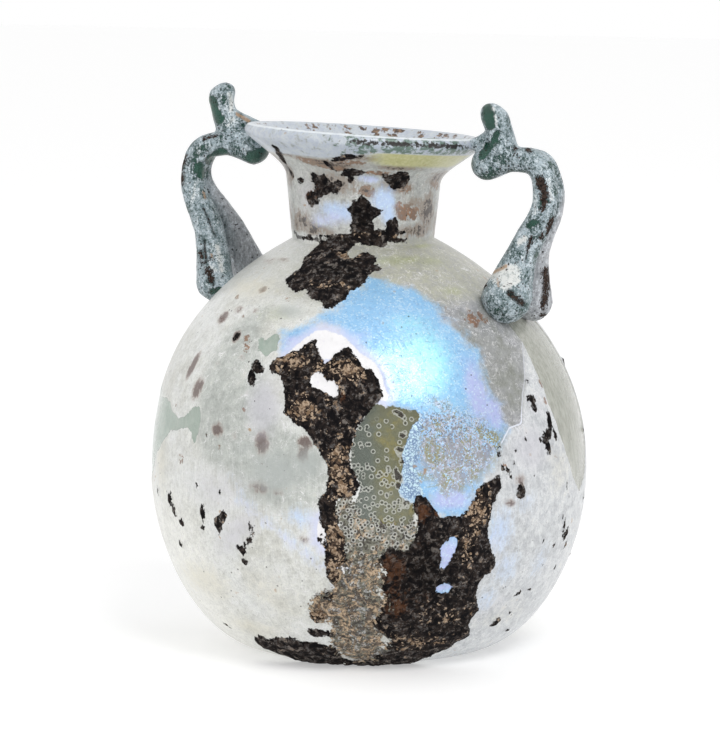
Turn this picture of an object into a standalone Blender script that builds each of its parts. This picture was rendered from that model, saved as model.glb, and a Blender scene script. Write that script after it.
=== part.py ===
"""Small glass oil flask (aryballos): a free-blown globe with a short neck, a flared
lip and two trailed handles that run from the shoulder to the lip.

The flask stands on +Z with its axis through the origin. The handles lie along -X and +X.
"""

import math
from typing import NamedTuple

import bmesh
import bpy
from mathutils import Matrix, Vector

# Body
BODY_RADIUS = 0.0340
BELLY_HEIGHT = 0.0277
BASE_RADIUS = 0.0171
KICK_RADIUS = 0.0120
KICK_RISE = 0.0008
SHOULDER_SLOPE = math.radians(28)
BODY_WALL = 0.0019
BASE_WALL = 0.0034

# Fullness of the curves, as shares of the height or reach that each one spans
SHOULDER_BELLY_PULL = 0.54
SHOULDER_NECK_PULL = 0.36
LOWER_BELLY_PULL = 0.51
LOWER_BASE_PULL = 0.30
FLARE_NECK_PULL = 0.25
FLARE_LIP_PULL = 0.52

# Neck and lip
JOINT_RADIUS = 0.0110
JOINT_HEIGHT = 0.0635
NECK_TOP_RADIUS = 0.0119
NECK_LENGTH = 0.0088
FLARE_RISE = 0.0080
FLASK_HEIGHT = JOINT_HEIGHT + NECK_LENGTH + FLARE_RISE
LIP_RADIUS = 0.0183
LIP_THICKNESS = 0.0021
FLARE_SLOPE = math.radians(40)
NECK_WALL = 0.0020

# The neck was set on a little off centre, and the lip dips towards +X and +Y
NECK_SHIFT = Vector((-0.0008, -0.0004))
LIP_DIP_X = math.radians(2.9)
LIP_DIP_Y = math.radians(2.9)

# Handles: two ribs side by side, near (-Y) and far (+Y), joined in one rod above the knee
ROD_RADIUS = 0.0020
ANKLE_RADIUS = 0.0025
TUCK_RADIUS = 0.0027
SADDLE_RADIUS = 0.0009
KNEE_SPREAD = 0.0014
ANKLE_SPREAD = 0.0025
LOBE_SPREAD = 0.0040
LOBE_RISE = 0.0028
HEEL_RADIUS = 0.0027
HEEL_RISE = 0.0010
# The handles' outermost line stays this far inside the belly's
HANDLE_INSET = 0.0040
HANDLE_REACH = BODY_RADIUS - HANDLE_INSET

# Places along a handle's spine, as shares of its rise from foot to crest
ANKLE_SHARE = 0.33
KNEE_SHARE = 0.68


class HandleForm(NamedTuple):
    """What differs between the two handles. Pairs are for the near rib and the far rib, and
    insets are measured inwards from the belly's radius."""

    side: int
    lobe_insets: tuple
    lobe_radii: tuple
    heel_step: float
    ankle_insets: tuple
    crest_drop: float
    bend_drop: float
    tuck_inset: float
    tuck_drop: float
    finial_rise: float
    finial_lean: float
    finial_curl: float
    finial_radius: float


LEFT = HandleForm(
    side=-1,
    lobe_insets=(0.0092, 0.0110),
    lobe_radii=(0.0031, 0.0030),
    heel_step=0.0010,
    ankle_insets=(0.0075, 0.0086),
    crest_drop=0.0037,
    bend_drop=0.0012,
    tuck_inset=-0.0008,
    tuck_drop=0.0044,
    finial_rise=0.0059,
    finial_lean=0.0014,
    finial_curl=-0.0008,
    finial_radius=0.0021,
)
RIGHT = HandleForm(
    side=1,
    lobe_insets=(0.0091, 0.0080),
    lobe_radii=(0.0038, 0.0031),
    heel_step=0.0033,
    ankle_insets=(0.0073, 0.0074),
    crest_drop=0.0029,
    bend_drop=0.0008,
    tuck_inset=-0.0025,
    tuck_drop=0.0038,
    finial_rise=0.0057,
    finial_lean=-0.0020,
    finial_curl=-0.0009,
    finial_radius=0.0022,
)

# Clear space between each handle and the flask that it is fused to
FUSE_GAP = 0.0003

# Fineness of the meshes
SEGMENTS = 44
BEAD_SPACING = 0.0006
HANDLE_VOXEL = 0.0011
HANDLE_SMOOTHING = 3
SAME_POINT = 1e-6


def smoothstep(low, high, value):
    share = min(max((value - low) / (high - low), 0.0), 1.0)
    return share * share * (3.0 - 2.0 * share)


def bezier(start, pull_a, pull_b, end, steps):
    """Points of a cubic curve with the outward normal at each, from start to end."""
    stations = []
    for step in range(steps + 1):
        t = step / steps
        s = 1.0 - t
        point = s**3 * start + 3 * s * s * t * pull_a + 3 * s * t * t * pull_b + t**3 * end
        along = s * s * (pull_a - start) + 2 * s * t * (pull_b - pull_a) + t * t * (end - pull_b)
        along.normalize()
        stations.append((point, Vector((along.y, -along.x))))
    return stations


def base_curve(steps):
    """Underside from the centre out: a slight hollow, then the edge of the flat ring."""
    stations = []
    for step in range(steps + 1):
        radius = KICK_RADIUS * step / steps
        rise = KICK_RISE * math.cos(math.pi / 2 * step / steps) ** 2
        stations.append((Vector((radius, rise)), Vector((0.0, -1.0))))
    return stations


def lower_curve(steps):
    start = Vector((BASE_RADIUS, 0.0))
    end = Vector((BODY_RADIUS, BELLY_HEIGHT))
    pull_a = start + Vector((LOWER_BASE_PULL * BELLY_HEIGHT, 0.0))
    pull_b = end - Vector((0.0, LOWER_BELLY_PULL * BELLY_HEIGHT))
    return bezier(start, pull_a, pull_b, end, steps)


def shoulder_curve(steps):
    span = JOINT_HEIGHT - BELLY_HEIGHT
    slope = Vector((math.cos(SHOULDER_SLOPE), -math.sin(SHOULDER_SLOPE)))
    start = Vector((BODY_RADIUS, BELLY_HEIGHT))
    end = Vector((JOINT_RADIUS, JOINT_HEIGHT))
    pull_a = start + Vector((0.0, SHOULDER_BELLY_PULL * span))
    pull_b = end + SHOULDER_NECK_PULL * span * slope
    return bezier(start, pull_a, pull_b, end, steps)


def neck_curve(steps):
    start = Vector((JOINT_RADIUS, JOINT_HEIGHT))
    end = Vector((NECK_TOP_RADIUS, JOINT_HEIGHT + NECK_LENGTH))
    return bezier(start, start.lerp(end, 1 / 3), start.lerp(end, 2 / 3), end, steps)


def lip_centre():
    half = LIP_THICKNESS / 2
    return Vector((LIP_RADIUS - half, FLASK_HEIGHT - half))


def flare_curve(steps):
    """Underside of the flared lip, from the top of the neck to the lip's round edge."""
    slope = Vector((math.cos(FLARE_SLOPE), math.sin(FLARE_SLOPE)))
    outward = Vector((slope.y, -slope.x))
    start = Vector((NECK_TOP_RADIUS, JOINT_HEIGHT + NECK_LENGTH))
    end = lip_centre() + outward * LIP_THICKNESS / 2
    reach = (end - start).length
    pull_a = start + Vector((0.0, reach * FLARE_NECK_PULL))
    pull_b = end - slope * reach * FLARE_LIP_PULL
    return bezier(start, pull_a, pull_b, end, steps)


def lip_curve(steps):
    """Half round of the lip, from its underside over the top to its inner side."""
    stations = []
    for step in range(1, steps):
        angle = FLARE_SLOPE - math.pi / 2 + math.pi * step / steps
        outward = Vector((math.cos(angle), math.sin(angle)))
        stations.append((lip_centre() + outward * LIP_THICKNESS / 2, outward))
    return stations


def outer_pieces():
    """The outer outline from the middle of the base to the edge of the lip."""
    return [base_curve(2), lower_curve(8), shoulder_curve(10), neck_curve(2), flare_curve(5)]


def inner_outline():
    """The inner outline from the lip down to the middle of the floor."""
    outline = []
    for point, outward in reversed(flare_curve(4)):
        wall = NECK_WALL + (LIP_THICKNESS - NECK_WALL) * smoothstep(NECK_TOP_RADIUS, LIP_RADIUS, point.x)
        outline.append(point - outward * wall)
    for point, outward in reversed(neck_curve(2)[:-1]):
        outline.append(point - outward * NECK_WALL)
    for point, outward in reversed(shoulder_curve(8)):
        outline.append(point - outward * BODY_WALL)
    for point, outward in reversed(lower_curve(7)[:-1]):
        wall = BASE_WALL + (BODY_WALL - BASE_WALL) * smoothstep(0.0, BELLY_HEIGHT / 2, point.y)
        outline.append(point - outward * wall)
    for point, outward in reversed(base_curve(2)):
        outline.append(point - outward * BASE_WALL)
    return outline


def joined(pieces):
    """One list of points, with the point that two pieces share kept once."""
    outline = []
    for piece in pieces:
        for point in piece:
            if not outline or (point - outline[-1]).length > SAME_POINT:
                outline.append(point)
    return outline


def lean(point):
    """Moves a point of the upright flask to where the hand-made neck and lip carry it."""
    shift = smoothstep(BELLY_HEIGHT, JOINT_HEIGHT, point.z)
    dip = smoothstep(JOINT_HEIGHT, JOINT_HEIGHT + NECK_LENGTH, point.z)
    drop = math.tan(LIP_DIP_X) * point.x + math.tan(LIP_DIP_Y) * point.y
    return point + Vector((NECK_SHIFT.x * shift, NECK_SHIFT.y * shift, -drop * dip))


def turned(name, outline):
    """A closed solid of revolution from (radius, height) points that start and end on the axis."""
    mesh = bmesh.new()
    rings = []
    for radius, height in outline:
        if radius < SAME_POINT:
            rings.append([mesh.verts.new(lean(Vector((0.0, 0.0, height))))])
            continue
        ring = []
        for segment in range(SEGMENTS):
            angle = 2 * math.pi * segment / SEGMENTS
            spot = Vector((radius * math.cos(angle), radius * math.sin(angle), height))
            ring.append(mesh.verts.new(lean(spot)))
        rings.append(ring)
    for lower, upper in zip(rings, rings[1:]):
        for segment in range(SEGMENTS):
            following = (segment + 1) % SEGMENTS
            if len(lower) == 1:
                mesh.faces.new((lower[0], upper[following], upper[segment]))
            elif len(upper) == 1:
                mesh.faces.new((lower[segment], lower[following], upper[0]))
            else:
                mesh.faces.new((lower[segment], lower[following], upper[following], upper[segment]))
    bmesh.ops.recalc_face_normals(mesh, faces=mesh.faces)
    return added(name, mesh)


def added(name, mesh):
    """Puts a finished bmesh into the scene as a smooth-shaded object."""
    data = bpy.data.meshes.new(name)
    mesh.to_mesh(data)
    mesh.free()
    data.shade_smooth()
    thing = bpy.data.objects.new(name, data)
    bpy.context.collection.objects.link(thing)
    return thing


def finish(thing, colour, roughness):
    """Gives an object its own plain material."""
    material = bpy.data.materials.new(thing.name)
    material.use_nodes = True
    shader = material.node_tree.nodes["Principled BSDF"]
    shader.inputs["Base Color"].default_value = (*colour, 1.0)
    shader.inputs["Roughness"].default_value = roughness
    shader.inputs["Metallic"].default_value = 0.0
    thing.data.materials.append(material)


def vessel():
    outer = joined([[point for point, outward in piece] for piece in outer_pieces()])
    lip = [point for point, outward in lip_curve(5)]
    body = turned("vessel", outer + lip + inner_outline())
    finish(body, (0.74, 0.76, 0.70), 0.35)
    return body


def vessel_envelope():
    """The flask's filled outer shape, grown by the gap that the handles keep to it."""
    pieces = []
    for piece in outer_pieces() + [lip_curve(5)]:
        pieces.append([point + outward * FUSE_GAP for point, outward in piece])
    base, lower, shoulder, neck, flare, lip = pieces
    crown = [Vector((0.0, FLASK_HEIGHT + FUSE_GAP))]
    envelope = turned("vessel_envelope", joined([base, lower, shoulder[:-1], neck[1:], flare, lip[:3], crown]))
    envelope.hide_render = True
    envelope.display_type = "WIRE"
    return envelope


def shoulder_height(radius):
    """Height of the shoulder's outer face at a distance from the axis."""
    previous = None
    for point, outward in shoulder_curve(200):
        if point.x <= radius:
            share = (previous.x - radius) / (previous.x - point.x)
            return previous.y + (point.y - previous.y) * share
        previous = point
    return JOINT_HEIGHT


def lip_height(x):
    """Height of the leaning lip's top above a point on the X axis."""
    return FLASK_HEIGHT - math.tan(LIP_DIP_X) * x


def strung(stations):
    """Beads closely spaced on a smooth line through stations of (place, radius)."""
    beads = []
    padded = [stations[0]] + stations + [stations[-1]]
    for before, start, end, after in zip(padded, padded[1:], padded[2:], padded[3:]):
        count = max(1, round((end[0] - start[0]).length / BEAD_SPACING))
        for step in range(count):
            t = step / count
            weights = (
                (-t + 2 * t**2 - t**3) / 2,
                (2 - 5 * t**2 + 3 * t**3) / 2,
                (t + 4 * t**2 - 3 * t**3) / 2,
                (-(t**2) + t**3) / 2,
            )
            place = Vector((0.0, 0.0, 0.0))
            for weight, station in zip(weights, (before, start, end, after)):
                place += weight * station[0]
            beads.append((place, start[1] + (end[1] - start[1]) * t))
    beads.append(stations[-1])
    return beads


def handle_beads(form):
    """Beads of glass whose union is one handle."""
    edge = form.side * LIP_RADIUS + NECK_SHIFT.x
    lip_out = abs(edge)
    lip_top = lip_height(edge)
    lobes_out = [BODY_RADIUS - inset for inset in form.lobe_insets]
    ankles_out = [BODY_RADIUS - inset for inset in form.ankle_insets]
    foot_height = shoulder_height(sum(lobes_out) / 2) + LOBE_RISE
    crest_height = lip_top - form.crest_drop
    rise = crest_height - foot_height

    def spot(out, across, up):
        return Vector((form.side * out, across, up))

    crest_out = lip_out + (HANDLE_REACH - lip_out) * 0.47
    bend_out = HANDLE_REACH - ROD_RADIUS * 0.65
    crest = (spot(crest_out, 0.0, crest_height), ROD_RADIUS)

    beads = []
    ribs = zip((-1, 1), lobes_out, form.lobe_radii, ankles_out)
    for across, lobe_out, lobe_radius, ankle_out in ribs:
        heel_out = lobe_out - form.heel_step
        heel_height = shoulder_height(heel_out) + HEEL_RISE
        lobe = (spot(lobe_out, across * LOBE_SPREAD, shoulder_height(lobe_out) + LOBE_RISE), lobe_radius)
        beads += strung([(spot(heel_out, across * LOBE_SPREAD, heel_height), HEEL_RADIUS), lobe])
        beads += strung([
            lobe,
            (spot(ankle_out, across * ANKLE_SPREAD, foot_height + rise * ANKLE_SHARE), ANKLE_RADIUS),
            (spot(HANDLE_REACH, across * KNEE_SPREAD, foot_height + rise * KNEE_SHARE), ROD_RADIUS),
            (spot(bend_out, across * KNEE_SPREAD * 0.6, crest_height - form.bend_drop), ROD_RADIUS),
            crest,
        ])
    tuck = spot(lip_out - form.tuck_inset, 0.0, lip_top - form.tuck_drop)
    beads += strung([crest, (tuck, TUCK_RADIUS)])

    finial_out = crest_out + form.finial_lean
    finial_top = lip_top + form.finial_rise
    middle = spot(crest_out + form.finial_lean * 0.7, 0.0, lip_top + form.finial_rise * 0.22)
    beads += strung([
        (spot(crest_out - ROD_RADIUS * 0.3, 0.0, crest_height + ROD_RADIUS * 0.4), ROD_RADIUS * 1.2),
        (middle, form.finial_radius * 0.95),
        (spot(finial_out, 0.0, finial_top - form.finial_radius * 1.25), form.finial_radius),
        (spot(finial_out + form.finial_curl, 0.0, finial_top - form.finial_radius * 0.8),
         form.finial_radius * 0.8),
    ])
    saddle = spot(lip_out, 0.0, lip_top - SADDLE_RADIUS)
    beads += strung([(middle, form.finial_radius * 0.55), (saddle, SADDLE_RADIUS)])
    return beads


def handle(name, envelope, beads):
    mesh = bmesh.new()
    for place, radius in beads:
        bmesh.ops.create_icosphere(mesh, subdivisions=3, radius=radius, matrix=Matrix.Translation(place))
    trail = added(name, mesh)
    fused = trail.modifiers.new("fused", "REMESH")
    fused.mode = "VOXEL"
    fused.voxel_size = HANDLE_VOXEL
    fused.use_smooth_shade = True
    softened = trail.modifiers.new("softened", "SMOOTH")
    softened.factor = 0.5
    softened.iterations = HANDLE_SMOOTHING
    seated = trail.modifiers.new("seated", "BOOLEAN")
    seated.operation = "DIFFERENCE"
    seated.solver = "EXACT"
    seated.object = envelope
    finish(trail, (0.24, 0.42, 0.38), 0.3)
    return trail


def build():
    for thing in list(bpy.data.objects):
        bpy.data.objects.remove(thing, do_unlink=True)
    vessel()
    envelope = vessel_envelope()
    handle("left_handle", envelope, handle_beads(LEFT))
    handle("right_handle", envelope, handle_beads(RIGHT))


build()
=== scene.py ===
"""The looks of a small free-blown glass oil flask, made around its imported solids."""

import math

import bpy
import numpy as np
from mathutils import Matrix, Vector, noise


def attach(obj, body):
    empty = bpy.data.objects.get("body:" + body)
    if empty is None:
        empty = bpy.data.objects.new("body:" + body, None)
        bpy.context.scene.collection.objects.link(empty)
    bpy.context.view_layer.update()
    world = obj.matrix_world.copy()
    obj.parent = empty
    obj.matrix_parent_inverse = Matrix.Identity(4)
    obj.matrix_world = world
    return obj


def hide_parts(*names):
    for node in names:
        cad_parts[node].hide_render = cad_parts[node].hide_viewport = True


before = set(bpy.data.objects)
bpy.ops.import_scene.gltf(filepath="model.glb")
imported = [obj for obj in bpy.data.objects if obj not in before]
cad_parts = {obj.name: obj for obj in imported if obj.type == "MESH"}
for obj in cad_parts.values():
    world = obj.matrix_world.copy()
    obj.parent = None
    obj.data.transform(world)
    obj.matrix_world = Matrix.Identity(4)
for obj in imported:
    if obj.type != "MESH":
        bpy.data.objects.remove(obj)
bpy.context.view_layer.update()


# The flask is one gather of pale glass, blown to a globe, necked in, flared and rolled over
# at the lip. Its outline is drawn as one line, from under the foot to the lip and down
# inside, and turned round the axis. Sizes are in millimetres and heights are above the floor.
MM = 0.001
BODY_RADIUS = 34.0
BELLY_HEIGHT = 27.7
BASE_RADIUS = 17.1
KICK_RADIUS = 12.0
KICK_RISE = 0.8
SHOULDER_SLOPE = math.radians(28)
BODY_WALL = 1.9
BASE_WALL = 3.4
JOINT_RADIUS = 11.0
JOINT_HEIGHT = 63.5
NECK_TOP_RADIUS = 11.9
NECK_LENGTH = 8.8
NECK_WALL = 2.0
NECK_TOP = JOINT_HEIGHT + NECK_LENGTH
LIP_RADIUS = 18.3
FLASK_HEIGHT = NECK_TOP + 8.0
LIP_THICKNESS = 2.1
FLARE_SLOPE = math.radians(40)
NECK_SHIFT = (-0.8, -0.4)
LIP_DIP = math.tan(math.radians(2.9))
TURN_STEPS = 360
SAME_PLACE = 1e-6
HANDFUL = 8192


def smoothstep(low, high, value):
    share = np.clip((value - low) / (high - low), 0.0, 1.0)
    return share * share * (3.0 - 2.0 * share)


def curve(start, pull_a, pull_b, end, steps):
    """Places on a cubic curve, as rows of radius and height, with the outward normal at each."""
    t = np.linspace(0.0, 1.0, steps + 1)[:, None]
    s = 1.0 - t
    places = s**3 * start + 3 * s * s * t * pull_a + 3 * s * t * t * pull_b + t**3 * end
    along = s * s * (pull_a - start) + 2 * s * t * (pull_b - pull_a) + t * t * (end - pull_b)
    along /= np.linalg.norm(along, axis=1, keepdims=True)
    return places, np.stack([along[:, 1], -along[:, 0]], axis=1)


def underside(steps, ring_steps):
    radius = np.concatenate([
        np.linspace(0.0, KICK_RADIUS, steps + 1),
        np.linspace(KICK_RADIUS, BASE_RADIUS, ring_steps + 1)[1:],
    ])
    hollow = np.clip(radius / KICK_RADIUS, 0.0, 1.0)
    places = np.stack([radius, KICK_RISE * np.cos(math.pi / 2 * hollow) ** 2], axis=1)
    return places, np.tile((0.0, -1.0), (len(radius), 1))


def lower_side(steps):
    start, end = np.array((BASE_RADIUS, 0.0)), np.array((BODY_RADIUS, BELLY_HEIGHT))
    out, down = np.array((0.30 * BELLY_HEIGHT, 0.0)), np.array((0.0, 0.51 * BELLY_HEIGHT))
    return curve(start, start + out, end - down, end, steps)


def shoulder(steps):
    rise = JOINT_HEIGHT - BELLY_HEIGHT
    slope = np.array((math.cos(SHOULDER_SLOPE), -math.sin(SHOULDER_SLOPE)))
    start, end = np.array((BODY_RADIUS, BELLY_HEIGHT)), np.array((JOINT_RADIUS, JOINT_HEIGHT))
    return curve(start, start + (0.0, 0.54 * rise), end + 0.36 * rise * slope, end, steps)


def neck(steps):
    start, end = np.array((JOINT_RADIUS, JOINT_HEIGHT)), np.array((NECK_TOP_RADIUS, NECK_TOP))
    return curve(start, start + (end - start) / 3, end - (end - start) / 3, end, steps)


ROLL = LIP_THICKNESS / 2
roll_centre = np.array((LIP_RADIUS - ROLL, FLASK_HEIGHT - ROLL))


def flare(steps):
    slope = np.array((math.cos(FLARE_SLOPE), math.sin(FLARE_SLOPE)))
    start = np.array((NECK_TOP_RADIUS, NECK_TOP))
    end = roll_centre + np.array((slope[1], -slope[0])) * ROLL
    reach = np.linalg.norm(end - start)
    return curve(start, start + (0.0, 0.25 * reach), end - 0.52 * reach * slope, end, steps)


def roll(steps):
    angle = FLARE_SLOPE - math.pi / 2 + math.pi * np.linspace(0.0, 1.0, steps + 1)[1:-1]
    outward = np.stack([np.cos(angle), np.sin(angle)], axis=1)
    return roll_centre + outward * ROLL, outward


def hollow_side(side, wall):
    """The inner face behind a stretch of the outside, drawn downwards."""
    places, outward = side
    return (places - outward * np.reshape(wall, (-1, 1)))[::-1], outward[::-1]


def without_repeats(stretches):
    places = np.concatenate([stretch[0] for stretch in stretches])
    outward = np.concatenate([stretch[1] for stretch in stretches])
    fresh = np.append(True, np.linalg.norm(np.diff(places, axis=0), axis=1) > 0.001)
    return places[fresh], outward[fresh]


def inner_walls():
    inner_flare, inner_lower = flare(10), lower_side(18)
    lip_share = smoothstep(NECK_TOP_RADIUS, LIP_RADIUS, inner_flare[0][:, 0])
    floor_share = smoothstep(0.0, BELLY_HEIGHT / 2, inner_lower[0][:, 1])
    return [
        hollow_side(inner_flare, NECK_WALL + (LIP_THICKNESS - NECK_WALL) * lip_share),
        hollow_side(neck(6), NECK_WALL),
        hollow_side(shoulder(24), BODY_WALL),
        hollow_side(inner_lower, BASE_WALL + (BODY_WALL - BASE_WALL) * floor_share),
        hollow_side(underside(5, 1), BASE_WALL),
    ]


FOOT_STEPS = (9, 5)
FOOT_STATIONS = sum(FOOT_STEPS) + 1
outside, outside_normals = without_repeats(
    [underside(*FOOT_STEPS), lower_side(56), shoulder(78), neck(15), flare(17), roll(10)])
inside, inside_normals = without_repeats(inner_walls())
inside[-1] = (0.0, inside[-1][1])
outline = np.concatenate([outside, inside])
outline_normals = np.concatenate([outside_normals, inside_normals])


def drawn_line(places):
    """Leaves edit mode open on a line that is extruded from corner to corner."""
    corners = [Vector((radius, 0.0, height)) * MM for radius, height in places]
    bpy.ops.object.select_all(action="DESELECT")
    bpy.ops.mesh.primitive_plane_add(size=MM)
    bpy.ops.object.mode_set(mode="EDIT")
    bpy.ops.mesh.merge(type="CENTER")
    bpy.ops.transform.translate(value=corners[0])
    for here, there in zip(corners, corners[1:]):
        bpy.ops.mesh.extrude_vertices_move(TRANSFORM_OT_translate={"value": there - here})


drawn_line(outline)
bpy.ops.mesh.select_all(action="SELECT")
bpy.ops.mesh.spin(steps=TURN_STEPS, angle=2 * math.pi, center=(0, 0, 0), axis=(0, 0, 1))
bpy.ops.mesh.select_all(action="SELECT")
bpy.ops.mesh.remove_doubles(threshold=SAME_PLACE)
bpy.ops.mesh.normals_make_consistent(inside=False)
bpy.ops.object.mode_set(mode="OBJECT")
flask = bpy.context.object
flask.name = flask.data.name = "weathered_flask"


def points_of(thing):
    """A mesh's corners in millimetres."""
    flat = np.empty(3 * len(thing.data.vertices), dtype=np.float32)
    thing.data.vertices.foreach_get("co", flat)
    return flat.reshape(-1, 3).astype(float) / MM


def move_points(thing, places):
    thing.data.vertices.foreach_set("co", (places * MM).astype(np.float32).ravel())
    thing.data.update()


def nearest_station(radii, heights, line):
    """Which place on a drawn line each corner lies nearest to, some thousands at a time."""
    found = np.empty(len(radii), dtype=int)
    for first in range(0, len(radii), HANDFUL):
        part = slice(first, first + HANDFUL)
        gap = np.hypot(radii[part, None] - line[:, 0], heights[part, None] - line[:, 1])
        found[part] = np.argmin(gap, axis=1)
    return found


upright = points_of(flask)
girth = np.hypot(upright[:, 0], upright[:, 1])
station = nearest_station(girth, upright[:, 2], outline)
# Turn is in degrees round the axis: 0 faces -Y, and 90 faces +X and the right handle
turn = np.degrees(np.arctan2(upright[:, 0], -upright[:, 1]))
is_outside = station < len(outside)
# Below the floor ring the height goes on as the distance in from the ring's edge, below zero
outside_height = np.where(np.arange(len(outside)) < FOOT_STATIONS, outside[:, 0] - BASE_RADIUS, outside[:, 1])
steps_up = np.append(0.0, np.linalg.norm(np.diff(outside, axis=0), axis=1))
outside_run = np.cumsum(steps_up)
climb = np.argmax(outside[:, 1])
height = np.where(is_outside, outside_height[np.minimum(station, len(outside) - 1)], upright[:, 2])
run = outside_run[np.minimum(station, len(outside) - 1)]


def flat_map(turns, runs, radii, middle):
    """Places on the skin laid flat, in millimetres either side of a middle line."""
    across = np.radians((turns - middle + 180.0) % 360.0 - 180.0) * radii
    return np.stack([across, runs], axis=-1)


def from_edge(points, corners):
    """Distance in millimetres from a closed outline on the flat map, positive inside it."""
    nearest = np.full(len(points), 1e9)
    within = np.zeros(len(points), dtype=bool)
    for start, end in zip(corners, np.roll(corners, -1, axis=0)):
        edge = end - start
        share = np.clip((points - start) @ edge / max(edge @ edge, 1e-9), 0.0, 1.0)
        nearest = np.minimum(nearest, np.linalg.norm(points - start - share[:, None] * edge, axis=1))
        crosses = (start[1] > points[:, 1]) != (end[1] > points[:, 1])
        if edge[1]:
            within ^= crosses & (points[:, 0] < start[0] + edge[0] * (points[:, 1] - start[1]) / edge[1])
    return np.where(within, nearest, -nearest)


FAR = -6.0


def area(*corners):
    """Distance inside an outline given as (turn, height) corners on the flask's outside."""
    turns, heights = np.array(corners, dtype=float).T
    runs = np.interp(heights, outside_height[:climb], outside_run[:climb])
    radii = np.interp(heights, outside_height[:climb], outside[:climb, 0])
    middle = (turns.min() + turns.max()) / 2
    outline_map = flat_map(turns, runs, radii, middle)
    corner_map = flat_map(turn, run, girth, middle)
    low, high = outline_map.min(axis=0) + FAR, outline_map.max(axis=0) - FAR
    near = is_outside & np.all((corner_map > low) & (corner_map < high), axis=1)
    distance = np.full(len(turn), FAR)
    distance[near] = np.maximum(from_edge(corner_map[near], outline_map), FAR)
    return distance


def spot(around, up, half_across, half_up, tilt=0.0):
    """Distance inside an oval, in millimetres, with its top tilted to the right by degrees."""
    middle_run = np.interp(up, outside_height[:climb], outside_run[:climb])
    offset = flat_map(turn, run, girth, around) - (0.0, middle_run)
    lean = math.radians(tilt)
    across = offset[:, 0] * math.cos(lean) - offset[:, 1] * math.sin(lean)
    along = offset[:, 0] * math.sin(lean) + offset[:, 1] * math.cos(lean)
    distance = (1.0 - np.hypot(across / half_across, along / half_up)) * min(half_across, half_up)
    return np.where(is_outside, np.maximum(distance, FAR), FAR)


def soft_spot(around, up, half_across, half_up, strength=1.0, tilt=0.0):
    """A stain that fades out from its middle."""
    inward = spot(around, up, half_across, half_up, tilt) / min(half_across, half_up)
    return strength * np.exp(-1.4 * (1.0 - np.minimum(inward, 1.0)) ** 2) * is_outside


def stains(*spots):
    """The strongest of many stains at each corner: turn, height, half sizes, strength and tilt."""
    return np.maximum.reduce([soft_spot(*row) for row in spots])


def lumps(size, octaves, seed=0.0):
    """Noise about zero, with lumps of about this size in millimetres."""
    shift = Vector((seed, seed * 1.7, -seed))
    return np.array([noise.fractal(Vector(place) / size + shift, 1.0, 2.0, octaves) for place in upright])


ragged = 0.9 * lumps(2.6, 3) + 0.25 * lumps(0.9, 2, 5.0)
drift = lumps(14.0, 3, 9.0)
# The side that the photograph hides is weathered by the same means, more plainly and by chance
far_side = np.clip(smoothstep(-66.0, -84.0, turn) + smoothstep(114.0, 130.0, turn), 0.0, 1.0) * is_outside
far_lumps = lumps(11.0, 4, 21.0)
wide_lumps = lumps(17.0, 3, 33.0)

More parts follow.
